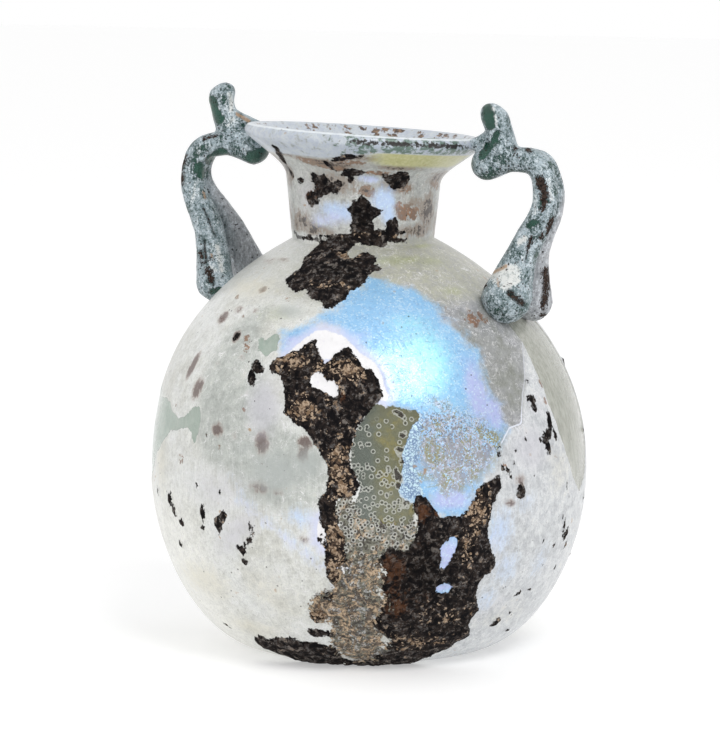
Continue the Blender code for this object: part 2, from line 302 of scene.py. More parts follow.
# Dark crust: burial soil and decayed glass that has set hard in patches
CRUST = [
    # Under the neck
    area(
        (-12, 64.2), (-13.8, 61.5), (-10.2, 60), (-13.4, 58.5), (-8.4, 57.4), (-5, 57.1), (0, 57.3),
        (4, 56.2), (8, 55.8), (9.8, 55.1), (13, 55.1), (16.5, 56), (18.9, 57.5), (23.9, 57.9),
        (27, 59.4), (30, 59.8), (35.7, 60.3), (33, 60.9), (29.8, 61.2), (33, 61.9), (28.9, 62.6),
        (21.6, 62.6), (19, 61.6), (15, 62.3), (17, 64),
    ),
    # The wide patch on the belly, with its strip running down
    area(
        (-4.4, 46), (-3.6, 47.8), (0.7, 48.2), (4.4, 49.4), (7, 50.4), (9.2, 50.8), (10.6, 48.8),
        (13, 47.6), (15.8, 48.9), (19.8, 49.5), (23, 48), (24, 46.6), (26.2, 47.2), (28.4, 45.2),
        (29.1, 43), (26.8, 41.4), (24.5, 40.2), (22.2, 38.6), (21.2, 36.6), (20.2, 34.4), (20.4, 32.6),
        (22, 31.2), (22.9, 30), (21.4, 28.4), (17.5, 28), (16, 26.4), (17.4, 24.8), (17.9, 23.6),
        (18.8, 22.2), (19, 20), (19.7, 18.9), (17.2, 17.6), (17, 15.5), (15.4, 14.6), (13.8, 15.4),
        (14.2, 17.6), (12.9, 18.9), (14, 21), (14.3, 23.4), (12.2, 24.6), (12.6, 26.4), (12.5, 28.2),
        (14.6, 28.8), (15, 31), (14.4, 33), (13.3, 34.4), (12.6, 35.8), (9.8, 37.4), (8, 38.4),
        (5.3, 38.4), (3.9, 39.8), (2, 40.2), (2.8, 42), (1.6, 43.6), (0.3, 45.3), (-2, 45.5),
    ),
    # The forked patch lower down, and the band that it runs into at the foot
    area(
        (37, 28), (38.6, 28.3), (39.8, 27.6), (41.6, 26), (43.4, 25), (46.5, 25.2), (49, 24.7),
        (51, 26.2), (52.5, 27.6), (54, 29.2), (56, 30.2), (58, 30.3), (60.3, 30.8), (60.6, 29),
        (58.6, 27.6), (57.6, 26), (57, 23.4), (57.4, 20.8), (58.5, 19.6), (60.3, 18.2), (61.2, 16.9),
        (60, 16), (57.6, 15.5), (56.8, 13.6), (56, 12.2), (57.4, 11), (59.8, 9.4), (58.4, 8.2),
        (58, 6.9), (60.6, 5.1), (57, 4), (54.5, 2.8), (48, 1.6), (42, -2), (30, -5), (14, -4), (0, -1),
        (-9, 0.9), (-15, 1.6), (-20.6, 3.1), (-19, 4.2), (-16.1, 4.9), (-12, 4.5), (-7, 4.8), (-2, 5.4),
        (2, 4.6), (5.6, 4.7), (9, 4.5), (13, 3.8), (15, 1.7), (22, 1.0), (29.8, 2.6), (31, 4),
        (31.4, 5.4), (28.6, 7), (25.5, 8.4), (28, 9.6), (30, 10.6), (30.3, 12.2), (28.2, 13.7),
        (27.6, 15.6), (29.4, 17), (28.6, 17.9), (27, 18.8), (28.4, 19.8), (31, 21), (34.6, 20.6),
        (36.6, 22), (37.6, 23.8), (37.2, 25.6), (36.4, 26.6),
    ),
    # A shred left of it, over the foot
    area((4.6, 6.6), (6, 7.2), (9.5, 7.1), (13.6, 6.9), (14, 6), (10, 5.7), (6.6, 5.7)),
    area((8, 10.2), (7.6, 9), (9, 8.3), (11.6, 8.4), (12, 9.6), (10.6, 10.3), (9.6, 11.2)),
    area((10.4, 12.5), (12, 13.3), (15.6, 13.6), (16, 12.8), (13.6, 12), (11.6, 11.9)),
    # Round the neck
    area(
        (13.2, 65.4), (15.5, 67), (16.6, 68.5), (14.6, 68.8), (17.6, 69.2), (17.1, 70), (21, 70.2),
        (24, 70.7), (27, 70.5), (31.5, 69.8), (36, 69), (39.8, 68.7), (37.4, 68), (34, 67.7),
        (32.6, 67.4), (33, 66), (34, 64.6), (22, 64.4),
    ),
    area((42, 66.5), (44.5, 67.2), (49, 67.9), (51.2, 68.3), (52.6, 67.5), (54, 66.2), (53, 64.8), (44, 65)),
    area(
        (-37, 64.1), (-28, 64.5), (-12, 64.6), (0, 64.8), (9, 65.1), (20, 65.2), (38, 65.8), (60, 65.6),
        (62, 65), (50, 64.6), (63, 63.9), (58, 63.5), (44, 64), (39, 63), (32, 63.5), (14, 64),
        (-5, 64.1), (-20, 63.9),
    ),
    area(
        (-23, 70.2), (-21, 69.3), (-18, 68.8), (-10.4, 69.3), (-13, 69.9), (-8, 70), (-2.6, 70.9),
        (5, 71.2), (9.5, 72), (9.4, 72.7), (6, 72.8), (1, 71.9), (-2, 72.8), (-4, 73.7), (-9, 73.1),
        (-13, 73.8), (-16.6, 73.5), (-17, 72.7), (-21, 72.1), (-14, 71.6), (-15, 70.9), (-21, 70.8),
    ),
    area((9, 73.6), (13, 74.7), (18, 75), (24.8, 74.4), (19, 73.7), (16.6, 72.4), (14.4, 72.5), (13, 73.4)),
    area(
        (37.5, 74.6), (41, 74.5), (47, 74.1), (51, 74.8), (57, 74.9), (60, 73.7), (57, 72.9),
        (48, 72.3), (45, 73), (40.6, 73.1),
    ),
    area((-32, 72), (-29, 72.5), (-26, 72.9), (-23.6, 72.2), (-30, 71.6)),
    area((5, 76.2), (12, 76.7), (19, 77.2), (25.4, 77.3), (24, 76.7), (14, 76), (6, 75.8)),
    area((-11, 77.2), (-4, 76.6), (1, 76), (6, 74.2), (3.6, 74.6), (-2, 76), (-8, 76.6)),
    area((-44, 74.6), (-38, 76.2), (-31, 77.6), (-27, 77.4), (-32, 75.8), (-40, 74.4)),
    # Dirt that has gathered round the neck on the far side
    area((-150, 68), (-141, 69.6), (-133, 68.4), (-128, 65.4), (-152, 65)),
    area((128, 74.2), (140, 75.6), (150, 73.2), (139, 72.2)),
]
# Gaps in those patches, where the skin below shows
CRUST_HOLES = [
    area(
        (8.8, 45.4), (10.2, 46.4), (12, 46.3), (14, 45.1), (15.6, 45.4), (17.4, 44.4), (17.2, 42.9),
        (15.8, 42.6), (13.6, 43.5), (11, 43.9), (9.2, 44.3),
    ),
    area(
        (46.4, 22.2), (48.2, 21.6), (48.1, 20.2), (46.9, 19), (46.4, 17.6), (44.4, 16.6), (43.6, 17),
        (44.2, 18.8), (43.5, 20.2), (44.2, 21), (45.4, 21.4),
    ),
    area((42.9, 13.7), (44.4, 14.4), (46.6, 14.6), (48.6, 13.9), (47.8, 13.2), (44.4, 13.2)),
]
# Flakes of the same crust: turn, height, half width, half height and tilt
CRUST_FLAKES = [
    (-8.8, 46.5, 1.0, 0.8, 60), (-9.3, 45, 0.7, 1.3, -20), (-7.2, 46.1, 0.7, 0.6, 0),
    (-48.4, 25.3, 0.4, 0.8, 0), (-38.8, 25, 0.6, 1.1, 20), (-36.6, 23.4, 0.6, 1.2, -25),
    (-33.2, 21.8, 0.6, 0.6, 0), (-22.9, 23.9, 0.5, 1.3, 0), (-23.4, 21.8, 0.45, 0.45, 0),
    (-17.2, 22.9, 0.8, 1.0, 10), (-15.4, 24, 0.55, 1.0, 25), (-16.9, 21.9, 0.35, 0.6, 0),
    (-6.6, 22.9, 0.4, 0.75, 0), (-7.8, 20.8, 1.3, 0.4, -35), (-10.4, 19.5, 0.9, 0.6, 0),
    (-10, 18.8, 0.5, 0.6, 0), (-9.7, 17.4, 0.5, 0.5, 0), (-36, 18.1, 0.4, 0.7, -25),
    (-47.5, 18.3, 0.3, 0.6, 0), (-31.1, 5.3, 0.9, 0.35, 40), (-16.1, 27.6, 0.3, 0.5, 0),
    (-24.5, 27.9, 0.25, 0.5, -20), (-43.8, 49.3, 0.3, 0.5, 20), (-20.9, 50.3, 0.45, 0.6, 0),
    (-21.8, 35.9, 0.25, 0.25, 0), (12.6, 21.6, 0.35, 0.7, 0), (67, 27.8, 0.95, 1.1, 0),
    (75.9, 41, 1.0, 0.7, 0), (76.2, 40, 0.5, 1.0, 0), (81.4, 37.2, 0.6, 1.7, 10),
    (79.6, 35.6, 0.9, 0.8, 0), (78.4, 34.2, 0.6, 1.4, -15), (76.8, 35, 0.7, 0.4, 0),
    (83, 35.2, 0.4, 0.9, 0), (76.6, 43.6, 0.45, 0.3, 0), (60.3, 34, 0.35, 0.75, 20),
    (61.8, 31.5, 0.8, 0.3, 30), (73.9, 11.3, 0.7, 0.5, -30), (69.4, 6.7, 1.0, 0.6, -40),
    (73.9, 7.9, 0.5, 0.35, 0), (78.9, 11.5, 0.5, 0.3, 0), (86, 22.6, 0.22, 0.5, 10),
    (88.5, 25.2, 0.2, 0.5, 0), (87, 27.4, 0.16, 0.3, 0), (63.6, 30.2, 0.2, 0.25, 0),
    (66, 34, 0.15, 0.16, 0), (68.4, 33, 0.15, 0.15, 0), (65, 32.2, 0.16, 0.2, 0),
    (70, 35.4, 0.15, 0.2, 0), (72, 30, 0.15, 0.2, 0), (66.6, 12.6, 0.16, 0.2, 0),
    (90, 14, 0.3, 0.7, 25), (78, 19.4, 0.16, 0.3, 20), (84.4, 18.1, 0.3, 0.5, 30),
    (87, 7.2, 0.5, 0.3, 0), (80.7, 4.5, 0.6, 0.3, 0), (80.7, 15.3, 0.25, 0.4, 30),
    (88, 20.8, 0.3, 1.0, 5), (90.4, 19.4, 0.5, 1.1, 25), (92.4, 17.4, 0.4, 0.7, 30),
    (68, 18.5, 0.25, 0.25, 0), (-41, 73.1, 0.6, 0.5, 0), (-112, 31, 0.7, 1.0, 15),
    (-108, 26, 0.5, 0.8, 0), (-121, 22, 0.8, 0.5, 0), (-97, 18, 0.5, 0.9, -20),
    (-134, 35, 0.5, 1.2, 10), (-88, 40, 0.4, 0.7, 0), (118, 44, 0.6, 0.9, 15), (126, 30, 0.8, 1.3, -10),
    (131, 27, 0.5, 0.6, 0), (146, 22, 0.6, 0.9, 20), (108, 34, 0.4, 0.6, 0), (112, 14, 0.7, 0.4, 0),
    (103, 24, 0.3, 0.6, 0), (158, 28, 0.7, 0.5, 0), (-160, 28, 0.6, 1.0, 0),
]
crust = np.maximum.reduce(CRUST) + 0.55 * ragged
gathered = 1.6 * smoothstep(9.0, 3.0, height) + 1.0 * smoothstep(3.0, 1.0, abs(height - JOINT_HEIGHT))
far_crust = 9.5 * far_lumps - 5.0 + 1.2 * ragged + gathered - 6.0 * smoothstep(72.0, 76.0, height)
crust = np.maximum(crust, np.where(far_side > 0.5, np.clip(far_crust, FAR, 3.0), FAR))
crust = np.maximum(crust, np.maximum.reduce([spot(*flake) for flake in CRUST_FLAKES]) + 0.25 * ragged)
crust = np.minimum(crust, 0.2 * ragged - np.maximum.reduce(CRUST_HOLES))
crust = np.where(is_outside, crust, FAR)

# Where the crust shows more tan grit, where it is charred, and where it is rusty
tan_grit = stains(
    (3, 47.5, 4.0, 2.2, 0.8), (19, 46.5, 5.0, 2.6, 0.9), (8, 41, 4.0, 3.0, 0.8),
    (17.5, 32, 2.6, 6.0, 0.9), (16.5, 20, 2.0, 7.0, 1.0), (53, 26, 2.4, 5.0, 0.9),
    (51, 20, 2.5, 5.0, 0.6), (43, 11, 4.0, 2.0, 0.5), (50, 9, 5.0, 2.6, 0.55), (43, 5, 7.0, 2.0, 0.6),
    (33, 6, 4.0, 2.4, 0.6), (14, 62.2, 3.0, 0.9, 0.8), (8, 58, 6.0, 1.2, 0.5), (25, 65, 4.0, 0.5, 1.0),
    (54, 64.8, 2.0, 0.4, 1.0), (165, 46, 5.0, 4.0, 0.7), (205, 11, 6.0, 4.0, 0.6),
    (13, 10.5, 4.0, 3.0, 1.0),
)
char = stains(
    (39, 17, 5.0, 7.0, 1.0), (5, 60, 5.0, 2.4, 0.6), (25, 68, 6.0, 3.4, 1.0), (30, 45, 2.0, 3.0, 0.6),
    (3, 45, 2.2, 2.6, 0.6), (48, 7, 6.0, 3.0, 0.2), (14, 31, 1.2, 3.0, 0.5), (-10, 46, 3.0, 3.0, 0.8),
    (80, 37, 5.0, 5.0, 0.8), (22, 48.5, 4.0, 1.2, 0.7), (30, 10, 3.0, 3.0, 0.5),
)
rust = stains(
    (38.5, 25.8, 1.8, 2.2, 1.0, 20), (43, 25.6, 1.6, 0.5, 1.0), (29.6, 18, 0.9, 2.6, 1.0),
    (32, 13.4, 3.0, 1.2, 0.9), (38, 21, 1.4, 2.0, 0.4), (33, 11, 2.4, 2.6, 0.9),
    (32, 17, 2.6, 3.4, 0.9), (40, 12, 3.0, 2.4, 0.45), (31, 71, 0.9, 0.9, 1.0),
    (18.6, 42.7, 0.7, 0.8, 1.0), (35, 5, 2.5, 1.0, 0.4), (-12, 71.5, 3.5, 2.0, 0.35),
    (-18, 70.4, 1.5, 1.2, 0.7), (82, 41.9, 0.9, 1.5, 0.9),
)

# A paler scab of pitted tan and grey scale between the strip and the forked patch
scab = 0.4 * ragged + np.maximum.reduce([
    area(
        (8, 10.8), (10.6, 13), (14.6, 14.2), (16, 15.8), (19.8, 18.9), (22, 19.8), (25.6, 19.4),
        (28.2, 16.6), (27.4, 14.4), (30.6, 12.4), (29.6, 10.4), (26, 8.6), (29.8, 5.6), (30.4, 3),
        (22, 1), (14.8, 2), (12, 4.4), (13.6, 6.4), (14, 8), (11, 8.8), (8.6, 9.4),
    ),
    area(
        (16, 26.6), (17.4, 28.4), (20.6, 29), (22, 26.4), (22.6, 24.8), (30, 24), (36.6, 25),
        (38, 22.4), (35, 20), (31, 20.4), (28.6, 19.4), (27, 18), (29, 17), (28, 15.8), (22, 18),
        (19, 18), (18.4, 21), (18, 22.6), (17, 24.4),
    ),
])
# The scale goes on under the crust's edge, and shows where that edge has crumbled
UNDER_CRUST = 2.2
scab = scab + UNDER_CRUST * smoothstep(-0.3, 0.6, crust) * smoothstep(24.0, 20.0, height)

# The flaked spots where chalk-white decayed glass lies open
chalk = 0.2 * ragged + np.maximum.reduce([
    area(
        (0.5, 48.3), (3, 49.9), (6, 51), (9, 52), (12, 52.2), (17, 51.6), (20.5, 50.4), (23, 49.2),
        (25.6, 48.6), (28, 47.6), (29.6, 46), (30.4, 44), (31, 42.9), (29.2, 42.2), (27, 44), (20, 48),
        (12, 48), (4, 48),
    ),
    CRUST_HOLES[0] + 0.6,
    area((11.8, 24.6), (12, 21.4), (13.4, 20.4), (14.8, 21.6), (15.2, 24), (13.6, 25.2)),
    area((16.4, 17.4), (18, 18.4), (19.8, 17.6), (19.2, 15.6), (17.6, 14.6), (16.8, 15.6)),
])
# The clean glass that shows where every layer has come away
bare = 0.25 * ragged + np.maximum.reduce([
    area(
        (26.6, 41.9), (29.2, 41.8), (30.2, 41.2), (31.4, 41.6), (35, 41.2), (38.9, 40.8), (38.6, 39.4),
        (36.8, 38.8), (35.4, 37.6), (34.6, 36.2), (33.4, 35), (33.8, 33.4), (33.3, 32), (33.6, 30.6),
        (32.2, 29.6), (32.4, 28.6), (34.2, 27.8), (36, 27.2), (36.6, 25.6), (35.6, 23.4), (33, 22.8),
        (29.4, 22.6), (25, 23.4), (21.4, 24.4), (20.8, 26.4), (22.2, 28.2), (23, 30), (21.4, 31.8),
        (20.4, 34), (21, 36.4), (22.6, 38.6), (24.6, 40.4),
    ),
    area(
        (-60, 41), (-53.8, 39.4), (-48.4, 39.7), (-43.8, 39.4), (-41, 38.3), (-37, 37.4), (-33.8, 37.8),
        (-29.3, 39.7), (-26.4, 39.8), (-25.2, 37.8), (-25.4, 36), (-26.2, 34.6), (-27.4, 34.4),
        (-28.6, 35.9), (-31, 36.5), (-36, 35.7), (-40, 35.4), (-44, 33.6), (-50, 31), (-54, 28),
        (-62, 26), (-70, 27), (-73, 33), (-68, 39),
    ),
    area(
        (-11, 50.6), (-8.4, 50.4), (-6, 51.4), (-3.4, 50.9), (-4.2, 49.8), (-2.6, 49.1), (-5, 48.7),
        (-6.4, 47.8), (-9, 48.9), (-10, 48.6),
    ),
    area(
        (81.5, 52.4), (83.8, 49.4), (83, 45), (83.8, 42.6), (83.6, 40.6), (85, 36.4), (87.5, 32.6),
        (91.5, 28.1), (97, 25.4), (104, 27.4), (110, 33), (113, 40), (112, 48), (107, 53.4), (98, 56.4),
        (88, 55.4),
    ),
    0.7 * ragged + area(
        (136, 30), (140, 31.6), (144, 31), (147, 35), (150, 37.6), (152, 34), (157, 31), (154, 28),
        (156, 24), (152, 23.6), (150, 19), (147, 22.6), (144, 20.6), (142.6, 25), (138, 25.6),
    ),
    0.7 * ragged + area(
        (-124, 47), (-119, 50.4), (-112, 50), (-108, 52.6), (-103, 50.4), (-100, 51), (-99, 47.6),
        (-104, 46.4), (-108, 43), (-112, 45), (-118, 43.4), (-121, 45.6),
    ),
    0.7 * ragged + area(
        (-166, 15), (-160, 18), (-154, 17.4), (-150, 21), (-146, 18), (-139, 17), (-143, 14.4),
        (-147, 14), (-152, 11), (-157, 13.6),
    ),
])


def stroke(*corners, breadth=0.12):
    """0 to 1 along a thin line through (turn, height) corners."""
    turns, heights = np.array(corners, dtype=float).T
    runs = np.interp(heights, outside_height[:climb], outside_run[:climb])
    radii = np.interp(heights, outside_height[:climb], outside[:climb, 0])
    middle = turns.mean()
    line = flat_map(turns, runs, radii, middle)
    points = flat_map(turn, run, girth, middle)
    nearest = np.full(len(points), 1e9)
    for start, end in zip(line, line[1:]):
        edge = end - start
        share = np.clip((points - start) @ edge / (edge @ edge), 0.0, 1.0)
        nearest = np.minimum(nearest, np.linalg.norm(points - start - share[:, None] * edge, axis=1))
    return np.exp(-(nearest / (4 * breadth)) ** 2) * is_outside


# Thin layers that play blue and lilac, and the grey, golden and frosted stretches between
film = smoothstep(-2.2, 2.6, 1.3 * ragged + np.maximum.reduce([
    area(
        (9.4, 53.8), (14, 55.6), (18, 57.2), (23, 58.2), (27.5, 59.4), (33, 59), (39.8, 58.4),
        (46, 57.8), (52, 56.2), (57, 53.6), (59.6, 50), (61.4, 47.9), (61, 43.3), (63.6, 40.4),
        (66, 37.4), (60.7, 35), (58.9, 32.4), (54, 29), (50, 25), (44, 24.4), (39, 27.4), (33, 28),
        (32, 32), (34.4, 36.6), (36, 40), (31, 41.6), (29.6, 44.6), (28.6, 46.9), (23, 49),
        (19.8, 50.8), (16, 52), (12, 52.6),
    ),
    area((-3.4, 51.6), (2, 52.4), (9, 53.2), (8, 51.6), (3.6, 49.6), (-1.6, 48.6)),
]))
# Fainter film: on the neck, along scratches, in two holes of the crust and on the far side
film = np.maximum(film, 0.75 * np.maximum.reduce([
    stains(
        (7, 25, 3.4, 2.6, 0.8), (61, 22, 3.6, 5.4, 0.8), (65, 16, 4.2, 5.0, 0.6),
        (61, 11, 3.0, 4.0, 0.6), (69, 26, 4.0, 3.5, 0.45), (79, 16, 3.6, 5.0, 0.5),
        (5, 68.2, 4.0, 1.9, 1.25), (-6, 67, 4.0, 1.6, 0.8), (41, 70.3, 2.6, 2.6, 1.3),
        (45, 68, 1.6, 2.0, 1.2), (30, 73.4, 2.4, 1.0, 1.0),
    ),
    0.55 * stroke((-9, 27), (2, 22.6), (13, 17.4), breadth=0.42),
    0.3 * stroke((-13, 30), (-4, 26), breadth=0.40),
    CRUST_HOLES[1] > -1.2,
    CRUST_HOLES[2] > -0.9,
    far_side * smoothstep(0.08, 0.52, wide_lumps + 0.06 * ragged) * smoothstep(8.0, 14.0, height),
]))
lilac = np.clip(np.maximum.reduce([
    stains(
        (57, 43, 2.6, 6.6, 1.0), (45.6, 27.6, 4.0, 1.8, 1.0), (61, 40, 2.4, 3.4, 0.9),
        (2, 50.4, 3.0, 1.6, 0.8), (24, 51.4, 2.0, 1.5, 0.45), (61, 18, 4.0, 8.0, 0.4),
        (46, 19, 2.4, 3.4, 1.0), (45.6, 14, 2.4, 1.0, 1.0), (-5, 67, 5.0, 1.6, 1.0),
        (30, 73.4, 2.4, 1.0, 1.0), (67, 27, 4.0, 4.0, 0.6), (55, 34, 2.5, 4.0, 0.6),
        (52, 58, 4.0, 1.5, 0.5), (0.5, 42.4, 1.8, 3.0, 0.5),
    ),
    stroke((-9, 26.6), (2, 22), (13, 16.8), breadth=0.25),
    far_side * smoothstep(0.30, -0.05, far_lumps),
]) + 0.25 * drift, 0.0, 1.0)
# Pearly cyan in the film. On the front shoulder, about 41 to 45 degrees round and 41 to 53 mm up, it is a
# painted highlight; on the far side it is pearl by chance
pearl = np.maximum.reduce([
    stains(
        (44, 48, 4.6, 6.8, 1.0), (41, 53, 5.0, 2.6, 0.55), (45, 41.5, 3.0, 2.4, 0.5),
    ),
    0.7 * far_side * smoothstep(0.22, 0.45, wide_lumps),
])
gold = smoothstep(-3.0, 2.2, 1.6 * ragged + area(
    (38.8, 40), (43, 41.2), (48, 41.4), (53.4, 39.4), (57, 37.4), (60, 36.4), (59, 33), (55, 31),
    (51, 29.6), (44, 29), (41, 30.2), (38.6, 31), (37.4, 33), (38, 36),
))
sparkle = smoothstep(33.0, 40.0, height)
frost = smoothstep(-0.25, 0.25, 0.3 * ragged + area(
    (35.2, 39.2), (36.4, 40), (38.6, 40.8), (40, 40.2), (38.6, 38), (38, 35.5), (37, 33.5), (37, 31.5),
    (38, 30), (39, 28.6), (37.5, 28), (34.5, 27.9), (32.5, 28.8), (32.3, 29.8), (33.8, 30.5),
    (33.5, 32), (34, 33.6), (33.6, 35), (34.8, 36.2), (35.2, 37.6),
))

# Grey-green haze in the middle, a smoky film with a torn edge on the right, and a straw tone
# below the neck
haze = smoothstep(-2.4, 2.0, 0.8 * ragged + np.maximum.reduce([
    area(
        (-14, 55), (-8, 47), (-2, 43), (2, 38), (10, 35), (13, 30), (9, 27.4), (0, 26), (-8, 27),
        (-14, 31), (-22, 32.6), (-27, 37), (-29, 45), (-24, 52),
    ),
    area((-7, 36), (2, 37.4), (10.6, 36), (12.6, 32), (11, 28), (2, 27.4), (-6, 30)) + 1.2,
]))
haze = np.maximum(haze, far_side * smoothstep(-0.05, 0.35, -far_lumps - 0.3 * wide_lumps))
smoke_film = area(
    (38, 60), (50, 61), (66, 62), (82, 61), (92, 57), (100, 52), (86, 50), (80.6, 47.4), (76.4, 44.2),
    (73, 42), (70.6, 39.4), (69.6, 37.8), (65, 37.4), (60.7, 34.8), (57, 34), (59, 40), (60, 47),
    (55, 53), (46, 57),
)
blurred = smoothstep(66.0, 58.0, turn)
smoke = smoothstep(-0.9 - 1.5 * blurred, 0.5 + 2.0 * blurred, 0.25 * ragged + smoke_film)
smoke = np.maximum(smoke, 0.5 * far_side * smoothstep(0.12, 0.50, -wide_lumps + 0.04 * ragged))
straw = smoothstep(54.0, 57.5, height + 0.5 * ragged) * smoothstep(66.0, 63.0, height) * is_outside
straw = straw * (0.35 + 0.65 * smoothstep(-30.0, 20.0, turn) * smoothstep(170.0, 110.0, turn))
right = smoothstep(30.0, 62.0, turn) * smoothstep(150.0, 110.0, turn) * is_outside

# Stains in the milky layer: moss green, umber and ochre
green = stains(
    (-8, 54, 5.0, 2.6, 0.6), (48, 61.4, 6.0, 1.6, 0.9), (66, 61, 5.0, 2.0, 0.7),
    (75, 63, 4.0, 0.7, 1.0), (66, 57, 3.0, 1.2, 0.8), (90, 50, 6.0, 8.0, 0.5), (-60, 34, 8.0, 8.0, 0.5),
    (20, 6, 6.0, 6.0, 0.4), (-100, 56, 8.0, 5.0, 0.5), (150, 58, 7.0, 4.0, 0.6),
)
brown = stains(
    (-36.5, 45.4, 1.0, 2.6, 1.2, 12), (-29.8, 42.4, 1.4, 2.2, 1.1, 12), (-34, 52.6, 1.6, 1.5, 0.9, 30),
    (-21, 50.4, 0.9, 1.1, 1.4), (-22.9, 57, 1.0, 1.0, 0.9), (-18.2, 37, 1.5, 1.3, 1.0),
    (-3.4, 35.8, 1.4, 2.2, 1.1), (8.6, 36.1, 1.2, 1.2, 1.5), (8.1, 34.2, 0.85, 1.0, 1.5),
    (-3.8, 29, 2.2, 1.4, 0.8), (1.4, 28.7, 1.4, 0.8, 0.7), (8, 21.6, 1.5, 1.0, 0.6),
    (-12, 36.4, 1.0, 1.4, 0.4), (-28, 54, 1.4, 1.0, 0.7), (-19, 54.2, 1.2, 0.8, 0.5),
    (-15, 47.6, 1.4, 0.9, 0.45), (-24, 46.4, 1.2, 0.8, 0.4), (86, 45, 2.0, 0.8, 0.5),
    (67, 29.4, 2.2, 1.6, 0.6), (63.6, 26.2, 1.3, 0.8, 0.9), (62.5, 26.6, 1.6, 0.9, 0.4),
    (-40, 60.6, 3.0, 1.4, 0.5), (-28, 61, 2.6, 1.0, 0.5), (-92, 46, 2.0, 2.4, 0.5),
    (-104, 36, 1.6, 1.6, 0.5), (-143, 26, 1.8, 2.2, 0.6), (137, 44, 1.6, 2.0, 0.5),
    (116, 26, 1.5, 1.2, 0.5), (-176, 46, 2.2, 1.8, 0.5), (66, 28.4, 2.0, 2.0, 0.2),
    (-45, 68, 3.0, 2.0, 0.35), (88, 68, 3.0, 1.4, 0.5),
)
ochre = stains(
    (-16.4, 50.2, 0.9, 0.8, 1.2), (-14.6, 49, 0.7, 1.1, 1.1), (-35, 55.5, 0.8, 0.5, 1.2, 40),
    (-22, 56.9, 0.5, 0.35, 1.2), (-34, 52.4, 0.9, 0.6, 1.1, 40), (-23, 53.2, 0.5, 0.35, 1.1),
    (-10, 40.2, 0.4, 0.3, 1.2), (-3, 32.9, 0.3, 0.3, 1.2), (-32.5, 31.7, 1.3, 1.1, 0.8),
    (82, 40.4, 0.6, 0.8, 1.2), (83, 42.9, 0.6, 0.8, 1.2), (80.5, 33.7, 0.5, 0.5, 1.2),
    (82, 32.1, 0.4, 0.5, 1.1), (62, 31.9, 0.7, 0.4, 1.2), (64.6, 31, 0.7, 0.5, 1.0),
    (53.2, 38.2, 0.4, 0.4, 1.0), (-39, 39, 0.4, 0.4, 1.0), (-7, 56, 1.0, 0.5, 0.8),
    (33, 51.6, 0.4, 0.25, 1.0), (55, 53.4, 1.0, 0.5, 0.9), (12.5, 51.9, 0.6, 0.2, 1.0),
    (-17, 34.4, 0.7, 0.5, 0.9), (68, 53, 3.2, 1.9, 0.9), (54, 53.6, 0.9, 0.5, 0.9),
    (26.1, 53.2, 0.3, 0.35, 1.0), (31, 51.8, 0.8, 0.25, 1.0), (43.8, 57.2, 0.8, 0.4, 0.9),
    (29.4, 54.4, 0.3, 0.3, 0.8), (-27, 12, 7.0, 2.6, 0.28, -30), (-10, 9, 8.0, 2.5, 0.22, -20),
    (-3, 75.2, 5.0, 1.0, 1.6, 12), (15, 75.9, 3.4, 0.8, 1.4), (57, 72.2, 1.4, 1.0, 1.5),
    (28.5, 71.4, 1.5, 1.1, 1.8), (-18, 70, 1.6, 1.6, 1.2), (36, 74.4, 3.0, 0.7, 1.2),
    (62, 68.4, 2.6, 1.4, 1.8), (52, 69.4, 1.2, 1.0, 1.3), (96, 73, 2.6, 1.2, 1.3),
    (-9, 21, 3.0, 1.0, 0.35, -40), (-9, 46.6, 1.8, 0.8, 0.4), (0, 31, 4.0, 2.0, 0.14),
    (-118, 14, 6.0, 3.0, 0.4), (150, 12, 8.0, 3.0, 0.4), (-170, 37, 3.0, 4.0, 0.35),
    (104, 8, 4.0, 2.0, 0.4),
)

# The window of bare glass: its dark blotches, how olive it is, and how thick with rings
BLOTCHES = [
    (32.8, 40.7, 0.4, 0.32), (34.1, 40.3, 0.4, 0.4), (34, 37.4, 0.4, 0.32), (33, 35.2, 0.6, 0.35),
    (33.6, 33.7, 0.4, 0.5), (30, 32.4, 0.3, 0.38), (32, 32.2, 0.32, 0.4), (32.6, 31.2, 0.5, 0.4),
    (32.4, 30.1, 0.4, 0.5), (34.6, 27.4, 0.6, 0.35), (33.4, 26.7, 0.45, 0.3), (33.8, 28.9, 0.3, 0.4),
]
blotch = np.maximum.reduce([spot(*row) for row in BLOTCHES]) + 0.12 * ragged
in_window = smoothstep(12.0, 14.0, turn) * smoothstep(46.0, 42.0, turn)
olive = smoothstep(22.0, 31.0, turn + 1.5 * ragged)
ringed_share = 0.22 + 0.5 * smoothstep(35.5, 31.5, height) + 0.15 * smoothstep(28.0, 24.0, height)
ringed_share = ringed_share - 0.95 * smoothstep(23.0, 18.0, height)

